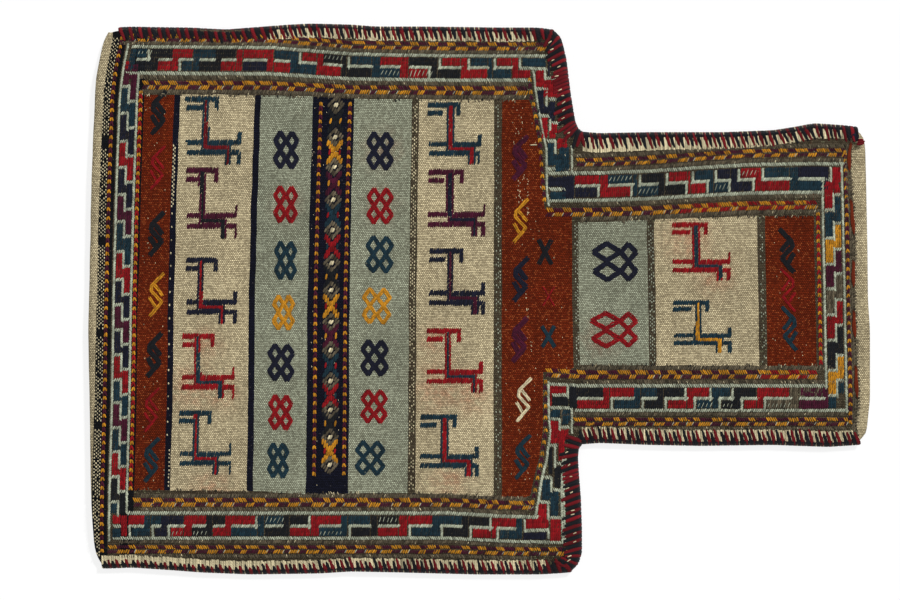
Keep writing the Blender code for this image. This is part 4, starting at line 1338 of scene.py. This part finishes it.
for stripe in CHEQUERS:
    chequer(*stripe)
dots(169.4, 146, 208, pitch=4.0, size=2.0)
dots(170.9, 148, 206, pitch=4.0, size=2.0)
dots(172.4, 450, 490, pitch=4.0, size=1.9)
dots(169.8, 214, 440, pitch=13.0, size=1.9)
for u in (315.4, 345.2):
    beads(u, 104, 478, "gold", "plum", 8.8)
print("chequered stretches:", len(CHEQUERS))

# %% Stray cream dots
STRAY_BOXES = [     # left, top, right, bottom, how many
    (505, 100, 540, 145, 26), (516, 172, 525, 204, 22), (526.5, 176, 529, 218, 12),
    (525.5, 288, 528.5, 325, 9), (505, 160, 570, 480, 46), (142, 100, 166, 480, 40),
    (766, 222, 810, 360, 16), (526, 338, 532, 352, 7), (311, 104, 318, 490, 26), (322, 104, 341, 490, 34),
]
for left, top, right, bottom, count in STRAY_BOXES:
    x, y = chance.uniform(left, right, count), chance.uniform(top, bottom, count)
    clear = field_depth(x, y) > 1
    sew("cream", x[clear], y[clear], 0, chance.uniform(1.2, 2.1, clear.sum()), 1.0, -0.0003)
print("stray dots, at most:", sum(box[-1] for box in STRAY_BOXES))

# %% Umber weft between the lines
WEFT_ROWS = [       # beside which line, how far outward, slant
    ("outer_line", 3.6, 24), ("inner_line", -3.6, -24), ("inner_guard", -6.6, 24), ("outer_guard", 6.8, -24),
]
WEFT_WOOLS = [("umber", 1.0, 4.6, 1.9), ("black", 0.16, 3.4, 1.0), ("cream", 0.10, 3.4, 1.0)]
for border in BORDERS:
    x_start, x_end = (140, 528) if border.startswith("body") else (582, 842)
    outward = -1 if border.endswith("top") else 1
    for line, offset, slant in WEFT_ROWS:
        xs, ys = border_line(border, line)
        inner = line.startswith("inner")
        line_start, line_end = (x_start, x_end) if inner else (x_start - 20, x_end + 4)
        for wool, share, length, width in WEFT_WOOLS:
            x = np.arange(line_start, line_end, 1.75)
            x = x[chance.random(len(x)) < share]
            y = np.interp(x, xs, ys + offset * outward) + chance.uniform(-0.4, 0.4, len(x))
            sew(wool, x, y, slant, length, width, -0.0001)
print("rows of umber weft:", len(BORDERS) * len(WEFT_ROWS))

# %% [markdown]
# ## Loose ends and the mouth
#
# Where a border meets a field, ends of yarn stray over the line, and a few cream stitches show between
# the wraps of the shoulders. At the mouth the front ends in a ragged dark edge, with a knot in its corner.

# %% Stray stitches over the edges of the fields
FIELD_EDGES = [     # line, its start and end, which way is inward
    ("body_top", 142, 528, 1), ("body_bottom", 136, 532, -1), ("neck_top", 578, 816, 1),
    ("neck_bottom", 578, 816, -1),
]
STRAYS_RUN = 390    # squares that hold the numbers below
STRAYS = [("umber", 70, 1.3), ("cream", 16, 0.9), ("black", 14, 1.3)]     # wool, how many, width
for line, x_start, x_end, inward in FIELD_EDGES:
    for wool, count, width in STRAYS:
        x = chance.uniform(x_start, x_end, round(count * (x_end - x_start) / STRAYS_RUN))
        y = on_line(line, x) + inward * chance.uniform(-0.8, 1.3, len(x))
        slant = chance.uniform(-35, 35, len(x))
        sew(wool, x, y, slant, chance.uniform(2.0, 3.4, len(x)), width, 0.0001)
sew("cream", 533.5, 145.2, 88, 7.0, 1.3, 0.0004)

# %% Cream dashes on the shoulders
DASHES = 11
for shoulder in ("upper_shoulder", "lower_shoulder"):
    spots = walk(EDGES[shoulder], np.linspace(0.08, 0.92, DASHES) + chance.uniform(-0.03, 0.03, DASHES))
    x = spots[:, 0] - chance.uniform(4, 11, DASHES)
    y = spots[:, 1] + chance.uniform(1, 3, DASHES)
    slant = chance.uniform(55, 75, DASHES)
    sew("cream", x, y, slant, chance.uniform(2.6, 4.4, DASHES), 1.3, 0.0010)

# %% Ragged edge at the mouth
FRAY_START, FRAY_END = 146, 438
tooth_y = np.arange(FRAY_START, FRAY_END, 3.4)
teeth = len(tooth_y)
tooth_x = edge_at("front_mouth", tooth_y) + chance.uniform(-1.4, 0.4, teeth)
tooth_slant = 90 + chance.uniform(-18, 18, teeth)
sew("umber", tooth_x, tooth_y, tooth_slant, chance.uniform(4.0, 6.0, teeth), 2.4)
for inward in (2.4, 4.4):
    row_y = np.arange(FRAY_START, FRAY_END, 2.6)
    sew("umber", edge_at("front_mouth", row_y) - inward, row_y, 16, 3.6, 2.2)
print("teeth along the mouth:", teeth)

# %% Knot at the mouth's upper corner
KNOT_X, KNOT_Y = 855.5, 136.5
for turn in (-30, -10, 12, 35, 60):
    x, y = KNOT_X + chance.uniform(-2, 2), KNOT_Y + chance.uniform(-2.5, 2.5)
    sew("navy", x, y, turn, 9, 3.4, 0.0004)
sew("wine", np.array([860.5, 862.0, 861.5]), np.array([139.5, 141.5, 143.8]), 82, 7.5, 2.6, -0.0009)
print("stitches so far:", sum(len(rows) for book in stitch_book.values() for rows in book))

# %% [markdown]
# ## From the book to meshes
#
# Every stitch has now been noted. All of one dye's stitches are written at once with arrays, which takes
# a second where a loop over objects would take minutes. Each grain is stretched, turned to its slant, laid
# at its height on the cloth and given a shade of its own.

# %% Wool material
UMBER_SHADES, OTHER_SHADES = (0.4, 1.9), (0.55, 1.42)       # darkest and lightest stitch


def wool_look(name):
    """Material of one dyed yarn: shade of each stitch, painted shade at its flanks, uneven dye, fine fibres.
    """
    material = bpy.data.materials.new(f"{name}_yarn")
    material.use_nodes = True
    tree = material.node_tree
    skin = tree.nodes["Principled BSDF"]
    skin.inputs["Roughness"].default_value = 0.88
    skin.inputs["Specular IOR Level"].default_value = 0.15
    skin.inputs["Sheen Weight"].default_value = 0.03
    skin.inputs["Sheen Roughness"].default_value = 0.55
    along, aside, shade = split_vector(tree, attribute(tree, "strand").outputs["Vector"])
    place = tree.nodes.new("ShaderNodeTexCoord").outputs["Object"]
    darkest, lightest = UMBER_SHADES if name == "umber" else OTHER_SHADES
    colour = mixed(tree, shade, dye(name, darkest), dye(name, lightest))
    # Painted shade: each grain and wrap is darker towards its flanks, where a round yarn turns from the
    # light.
    painted_flank_shade = maths(tree, "POWER", maths(tree, "ABSOLUTE", aside), 2.0)
    colour = mixed(tree, maths(tree, "MULTIPLY", painted_flank_shade, 0.75), colour, dye(name, 0.25))
    yarn_colour, yarn_hairs = spin(tree, colour, place, 0.45)
    tree.links.new(yarn_colour, skin.inputs["Base Color"])
    turns = maths(tree, "MULTIPLY_ADD", along, 14.0, maths(tree, "MULTIPLY", aside, 3.0))
    ply = maths(tree, "SINE", turns)
    emboss(tree, skin, maths(tree, "MULTIPLY_ADD", yarn_hairs, 0.8, ply), 0.35, 0.0002)
    return material


wool_materials = {name: wool_look(name) for name in DYES}
print("yarn materials:", len(wool_materials))


# %% One mesh from many copies of a shape
def strand_mesh(name, points, faces, strand, wool):
    """One mesh from copies of a shape: points (copies, n, 3), faces (m, 4), strand (copies, n, 3)."""
    copies, count = points.shape[:2]
    corners = (faces[None] + np.arange(copies)[:, None, None] * count).reshape(-1, 4)
    mesh = bpy.data.meshes.new(name)
    mesh.vertices.add(copies * count)
    mesh.vertices.foreach_set("co", points.reshape(-1).astype(np.float32))
    mesh.loops.add(corners.size)
    mesh.loops.foreach_set("vertex_index", corners.reshape(-1).astype(np.int32))
    mesh.polygons.add(len(corners))
    mesh.polygons.foreach_set("loop_start", np.arange(0, corners.size, 4, dtype=np.int32))
    mesh.update(calc_edges=True)
    mesh.shade_smooth()
    mesh.attributes.new("strand", "FLOAT_VECTOR", "POINT").data.foreach_set(
        "vector", strand.reshape(-1).astype(np.float32))
    mesh.materials.append(wool_materials[wool])
    piece = bpy.data.objects.new(name, mesh)
    bpy.context.collection.objects.link(piece)
    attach(piece, "root")
    return piece


# %% All the stitches of each dye
STITCH_HEIGHT = 0.00075
SLANT_SPREAD, GOLD_SLANT_SPREAD = 4.0, 5.0      # degrees


def stitch_mesh(wool):
    """All the stitches of one dye as one piece."""
    notes = np.vstack(stitch_book[wool])
    count = len(notes)
    x, y = to_metres(notes[:, 0] + chance.normal(0, 0.10, count), notes[:, 1] + chance.normal(0, 0.16, count))
    spread = GOLD_SLANT_SPREAD if wool == "gold" else SLANT_SPREAD
    turn = np.radians(notes[:, 2] + chance.normal(0, spread, count))
    length = notes[:, 3] * SQUARE / 2 * chance.normal(1.04, 0.05, count)
    width = notes[:, 4] * SQUARE / 2 * chance.normal(1.0, 0.06, count)
    ground = front_height(x, y) + notes[:, 5]
    along = grain_points[None, :, 0] * length[:, None]
    aside = grain_points[None, :, 1] * width[:, None]
    tall = STITCH_HEIGHT * chance.normal(1.0, 0.08, count)
    points = np.empty((count, len(grain_points), 3))
    points[..., 0] = x[:, None] + np.sin(turn)[:, None] * along + np.cos(turn)[:, None] * aside
    points[..., 1] = y[:, None] + np.cos(turn)[:, None] * along - np.sin(turn)[:, None] * aside
    points[..., 2] = ground[:, None] + grain_points[None, :, 2] * tall[:, None]
    strand = np.empty_like(points)
    strand[..., 0] = grain_points[None, :, 0]
    strand[..., 1] = grain_points[None, :, 1]
    strand[..., 2] = np.clip(chance.normal(0.5, 0.27, count), 0, 1)[:, None]
    return strand_mesh(f"{wool}_stitches", points, grain_faces[:, ::-1], strand, wool)


stitch_pieces = {wool: stitch_mesh(wool) for wool in stitch_book}
print("stitches:", {wool: sum(len(rows) for rows in book) for wool, book in stitch_book.items()})

# %% Solids that the stitches stand in for, found by their material slots
FIGURE_NODES = {}
for node in frame["nodes"]:
    for row in frame["record"]["subparts"]:
        if row["node"] == node and row["material_slot"].endswith("_wool"):
            FIGURE_NODES.setdefault(row["material_slot"].removesuffix("_wool"), []).append(node)
for wool, piece in stitch_pieces.items():
    if wool in FIGURE_NODES:
        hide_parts(*FIGURE_NODES[wool])
print("solids drawn by stitches:", sum(len(nodes) for nodes in FIGURE_NODES.values()))

# %% [markdown]
# ## Whipping along the sewn edges
#
# The two layers are joined by yarn that goes over the edge again and again. Cream wraps lie close
# together, and over them go pairs of crimson and navy, broad at the edge and pointed inward. One wrap is a
# strip of faces with a half-round section. It starts on the front, turns round the edge and ends under the
# back, and like the stitches it is copied with arrays.

# %% The strip of one wrap
bm = bmesh.new()
bmesh.ops.create_grid(bm, x_segments=9, y_segments=3, size=1.0)
strip_points = np.array([vertex.co for vertex in bm.verts])
strip_faces = np.array([[vertex.index for vertex in face.verts] for face in bm.faces])
bm.free()
EDGE_OUT = 0.0013       # metres that a wrap stands off the cloth's edge
NUDGE = 0.004           # share of a line's length, used to find its direction


def whip(line, places, reach, width, lean=0.3, point=0.3, belly=0.75, edge_width=1.0, proud=0.0,
         height=0.0007):
    """Wraps over a sewn edge. line runs clockwise in squares; places are shares of its length."""
    spots = walk(line, places)
    after = walk(line, np.clip(np.asarray(places) + NUDGE, 0, 1))
    before = walk(line, np.clip(np.asarray(places) - NUDGE, 0, 1))
    ahead = after - before
    ahead /= np.hypot(*ahead.T)[:, None]
    edge_x, edge_y = to_metres(*spots.T)
    run = np.column_stack([ahead[:, 0], -ahead[:, 1]])
    inward = np.column_stack([run[:, 1], -run[:, 0]])
    count = len(spots)
    reach = np.broadcast_to(reach, count) * SQUARE
    half = np.broadcast_to(width, count) * SQUARE / 2
    share = (strip_points[:, 0] + 1) / 2
    side = strip_points[:, 1]
    edge_back, edge_front = layer_heights(edge_x, edge_y)
    over = np.interp(share, (0, 0.5, 0.62, 0.75, 0.85, 1.0), (1.0, 0.12, -0.10, -0.10, 0.12, 0.6))
    distance = np.where(over[None] > 0, over[None] * reach[:, None], over[None] * 0.012)
    x = edge_x[:, None] + inward[:, 0:1] * distance + run[:, 0:1] * lean * distance
    y = edge_y[:, None] + inward[:, 1:2] * distance + run[:, 1:2] * lean * distance
    back, front = layer_heights(x, y)
    top = front + CLOTH_THICKNESS / 2 + proud
    low = back - CLOTH_THICKNESS / 2 - proud
    down = np.interp(share, (0, 0.54, 0.80, 1.0), (0, 0, 1, 1))
    taper = np.interp(share, (0, 0.11, 0.34, 0.45, 0.56, 0.8, 1.0),
                      (point, (point + belly) / 2, belly, belly + 0.08, edge_width, edge_width, 0.5))
    round_off = np.cos(side * math.pi / 2)
    z = top * (1 - down) + low * down
    facing = np.cos(down * math.pi)
    bulge = np.sin(down * math.pi)
    z = z + facing * height * round_off * taper
    out = bulge * (EDGE_OUT + 0.3 * height * round_off)
    out = out * (1 - 0.35 * np.abs(side) ** 3 * (bulge > 0.05))
    x = x - inward[:, 0:1] * out + run[:, 0:1] * side * taper * half[:, None]
    y = y - inward[:, 1:2] * out + run[:, 1:2] * side * taper * half[:, None]
    points = np.stack([x, y, z], axis=-1)
    strand = np.empty_like(points)
    strand[..., 0] = share * 3
    strand[..., 1] = side
    strand[..., 2] = np.clip(chance.normal(0.45, 0.2, count), 0, 1)[:, None]
    return points, strand


def along_edge(line, pitch, start=0.0, end=1.0):
    """Shares of a line's length, a pitch of squares apart with a little hand in them."""
    total = length_of(line)
    places = np.arange(start * total, end * total, pitch)
    return np.clip((places + chance.uniform(-0.5, 0.5, len(places))) / total, 0, 1)


print("a wrap has", len(strip_points), "points")

# %% [markdown]
# Along the top, the bottom and the neck, cream wraps lie close together, and pairs of a crimson and a
# dark wrap go over them. Round the shoulders crimson and dark wraps take turns without cream. Dark wraps
# underneath keep any gap from showing the cloth.

# %% Where the wraps go
EVEN = ((0, 1), (1, 1))                         # places along the run, share of the reach there
SHORT_NEAR_FOLD = ((0.5, 0.72), (1.0, 0.5))
EDGE_RUNS = [       # line run clockwise, whipped share, share with cream, reach of cream, of colours, fading
    (EDGES["top"], (0.03, 1.0), (0.36, 0.96), (11, 11), (8, 12), EVEN),
    (EDGES["upper_shoulder"], (0.0, 1.0), None, None, (11, 17), EVEN),
    (EDGES["neck_top"], (0.0, 1.0), (0.01, 0.95), (16.5, 10.5), (10, 14), EVEN),
    (EDGES["neck_bottom"][::-1], (0.0, 1.0), (0.02, 0.99), (12, 13), (10, 14), EVEN),
    (EDGES["lower_shoulder"], (0.0, 1.0), None, None, (12, 17), EVEN),
    (EDGES["bottom"][::-1], (0.0, 1.0), (0.05, 1.0), (11.5, 9.5), (7, 12.5), SHORT_NEAR_FOLD),
]
PAIR_PITCH, PAIR_STEP, DENSE_PITCH = 9.4, 4.0, 3.9      # squares
OUT_OF_TURN = 0.12      # share of the dense wraps


def paired_places(line, first, last):
    """Places of the crimson wraps and, a step on, of the dark ones."""
    pairs = along_edge(line, PAIR_PITCH, first, last)
    pairs = np.clip(pairs + chance.uniform(-0.8, 0.8, len(pairs)) / length_of(line), 0, 1)
    return [("crimson", pairs), ("navy", np.clip(pairs + PAIR_STEP / length_of(line), 0, 1))]


def dense_places(line):
    """Places of wraps that take turns close together, with a few out of turn."""
    places = along_edge(line, DENSE_PITCH)
    turns = np.where(chance.random(len(places)) < OUT_OF_TURN, 0, np.arange(len(places)) % 2)
    return [(key, places[turns == turn]) for turn, key in enumerate(("crimson", "navy"))]


print("sewn edge in metres:", round(sum(length_of(run[0]) for run in EDGE_RUNS) * SQUARE, 2))

# %% Runs of whipping
UNDER_PITCH, UNDER_WIDTH, CREAM_PITCH, CREAM_WIDTH = 2.4, 3.0, 2.0, 2.6
OVER_CREAM = {"point": 0.35, "belly": 0.86, "edge_width": 1.1}
SIDE_BY_SIDE = {"point": 0.6, "belly": 0.95, "edge_width": 1.0}
wraps = {"crimson": [], "navy": [], "cream": []}


def add_cream(line, cream, cream_reach):
    """A thin dark rim and the close cream wraps."""
    rim = 1.8 if line is EDGES["neck_top"] else 1.0
    places = along_edge(line, UNDER_PITCH, *cream)
    wraps["navy"].append(whip(line, places, rim, UNDER_WIDTH, point=0.7, belly=1.0, proud=0.0003))
    places = along_edge(line, CREAM_PITCH, *cream)
    reaches = np.interp(places, (0, 1), cream_reach) + chance.uniform(-0.7, 0.7, len(places))
    wraps["cream"].append(whip(line, places, reaches, CREAM_WIDTH, lean=0.04, point=0.8, belly=1.0,
                               height=0.0006))


for line, (first, last), cream, cream_reach, reach, fading in EDGE_RUNS:
    layout = paired_places(line, first, last) if cream else dense_places(line)
    bare_runs = [(first, cream[0]), (cream[1], last)] if cream else [(first, last)]
    for start, end in bare_runs:
        places = along_edge(line, UNDER_PITCH, start, end)
        wraps["navy"].append(whip(line, places, 6.0 if cream else 8.0, UNDER_WIDTH, point=0.8, belly=1.0))
    for key, places in layout:
        reaches = chance.uniform(*reach, len(places)) * np.interp(places, *fading)
        widths = chance.uniform(4.2, 5.2, len(places))
        shape = OVER_CREAM if cream else SIDE_BY_SIDE
        wraps[key].append(whip(line, places, reaches, widths, proud=0.0004, **shape))
    if cream:
        add_cream(line, cream, cream_reach)
print("wraps:", {key: sum(len(points) for points, strand in runs) for key, runs in wraps.items()})

# %% Meshes of the wraps
overcast = [node for node in frame["nodes"] if node.startswith("overcast")]
WRAP_NODES = {"crimson": [node for node in overcast if node.endswith("upper")],
              "navy": [node for node in overcast if node.endswith("lower")]}
for key, wool in (("crimson", "wine"), ("navy", "black"), ("cream", "cream")):
    points = np.concatenate([wrap[0] for wrap in wraps[key]])
    strand = np.concatenate([wrap[1] for wrap in wraps[key]])
    piece = strand_mesh(f"{key}_whipping", points, strip_faces, strand, wool)
    if key in WRAP_NODES:
        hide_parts(*WRAP_NODES[key])
    print(key, "wraps:", len(points))

# %% Rust thread at the mouth
MOUTH_THREADS = [(142, 171), (199, 235), (260, 287), (310, 338), (365, 398)]     # first and last square
PLIES = (-1.2, 0.0, 1.2)        # three plies side by side


def mouth_ply(top, bottom, lane):
    """Points and strand values of one ply of a stitch along the front's edge."""
    share = (strip_points[:, 0] + 1) / 2
    side = strip_points[:, 1]
    from_middle = np.abs(2 * share - 1)
    y = top + (bottom - top) * share + lane * 0.8
    x = edge_at("front_mouth", y) - 1.2 + lane * (1 - 0.5 * from_middle) + 0.35 * np.sin(share * 9 + lane)
    x = x + side * 0.85 * (1 - from_middle ** 6)
    px, py = to_metres(x, y)
    pz = front_height(px, py) + 0.0003 + 0.0008 * np.cos(side * math.pi / 2)
    strand = np.column_stack([share * 8, side, 0.5 + 0.1 * lane + 0 * share])
    return np.column_stack([px, py, pz]), strand


plies = [mouth_ply(top, bottom, lane) for top, bottom in MOUTH_THREADS for lane in PLIES]
thread_points = np.array([points for points, strand in plies])
thread_strands = np.array([strand for points, strand in plies])
mouth_thread = strand_mesh("mouth_thread", thread_points, strip_faces, thread_strands, "rust")
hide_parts(*[node for node in frame["nodes"] if node.startswith("mouth_stitch")])
print("plies of the mouth threads:", len(plies))

# %% [markdown]
# ## Light, floor and camera
#
# The picture looks straight down in even daylight. A sun from the upper right at a middling height brings
# out the stitches, and the world fills the shadows. The floor is plain and pale: the camera sees it as
# white with a faint shadow.

# %% Floor
def seen_rays(tree):
    """1 for rays from the camera and its reflections, 0 for light that fills the scene."""
    path = tree.nodes.new("ShaderNodeLightPath")
    mirrored = maths(tree, "MAXIMUM", path.outputs["Is Glossy Ray"], path.outputs["Is Transmission Ray"])
    return maths(tree, "MAXIMUM", path.outputs["Is Camera Ray"], mirrored)


bm = bmesh.new()
bmesh.ops.create_grid(bm, x_segments=2, y_segments=2, size=3.0)
floor_mesh = bpy.data.meshes.new("floor")
bm.to_mesh(floor_mesh)
bm.free()
floor = bpy.data.objects.new("floor", floor_mesh)
bpy.context.collection.objects.link(floor)
floor.location.z = cad_low[2] - 0.0002
paper = bpy.data.materials.new("white_paper")
paper.use_nodes = True
tree = paper.node_tree
plain = tree.nodes["Principled BSDF"]
plain.inputs["Base Color"].default_value = (0.9, 0.9, 0.9, 1.0)
plain.inputs["Roughness"].default_value = 0.9
glow = tree.nodes.new("ShaderNodeEmission")
glow.inputs["Strength"].default_value = 1.03
both = tree.nodes.new("ShaderNodeMixShader")
tree.links.new(maths(tree, "MULTIPLY", seen_rays(tree), 0.8), both.inputs[0])
tree.links.new(plain.outputs[0], both.inputs[1])
tree.links.new(glow.outputs[0], both.inputs[2])
tree.links.new(both.outputs[0], tree.nodes["Material Output"].inputs["Surface"])
floor_mesh.materials.append(paper)

# %% World and sun
world = bpy.data.worlds.new("daylight")
bpy.context.scene.world = world
world.use_nodes = True
tree = world.node_tree
sky = tree.nodes["Background"]
sky.inputs["Color"].default_value = (1.0, 1.0, 1.0, 1.0)
tree.links.new(maths(tree, "MULTIPLY_ADD", seen_rays(tree), 0.6, 0.4), sky.inputs["Strength"])
sun_data = bpy.data.lights.new("sun", "SUN")
sun_data.energy = 2.9
sun_data.angle = math.radians(6)
sun = bpy.data.objects.new("sun", sun_data)
sun.rotation_euler = (math.radians(-36), math.radians(32), 0.0)
bpy.context.collection.objects.link(sun)

# %% Camera
CAMERA_HEIGHT = 2.0
PICTURE_WIDTH, PICTURE_HEIGHT = 900, 600
camera_data = bpy.data.cameras.new("camera")
camera_data.sensor_width = 36.0
camera_data.lens = 36.0 * CAMERA_HEIGHT / (PICTURE_WIDTH * SQUARE)
camera = bpy.data.objects.new("camera", camera_data)
camera_x, camera_y = to_metres(PICTURE_WIDTH / 2, PICTURE_HEIGHT / 2)
camera.location = (camera_x, camera_y, CAMERA_HEIGHT + cad_high[2] - 0.002)
bpy.context.collection.objects.link(camera)
bpy.context.scene.camera = camera
bpy.context.scene.view_settings.view_transform = "Standard"
print("lens:", round(camera_data.lens, 1), "mm")
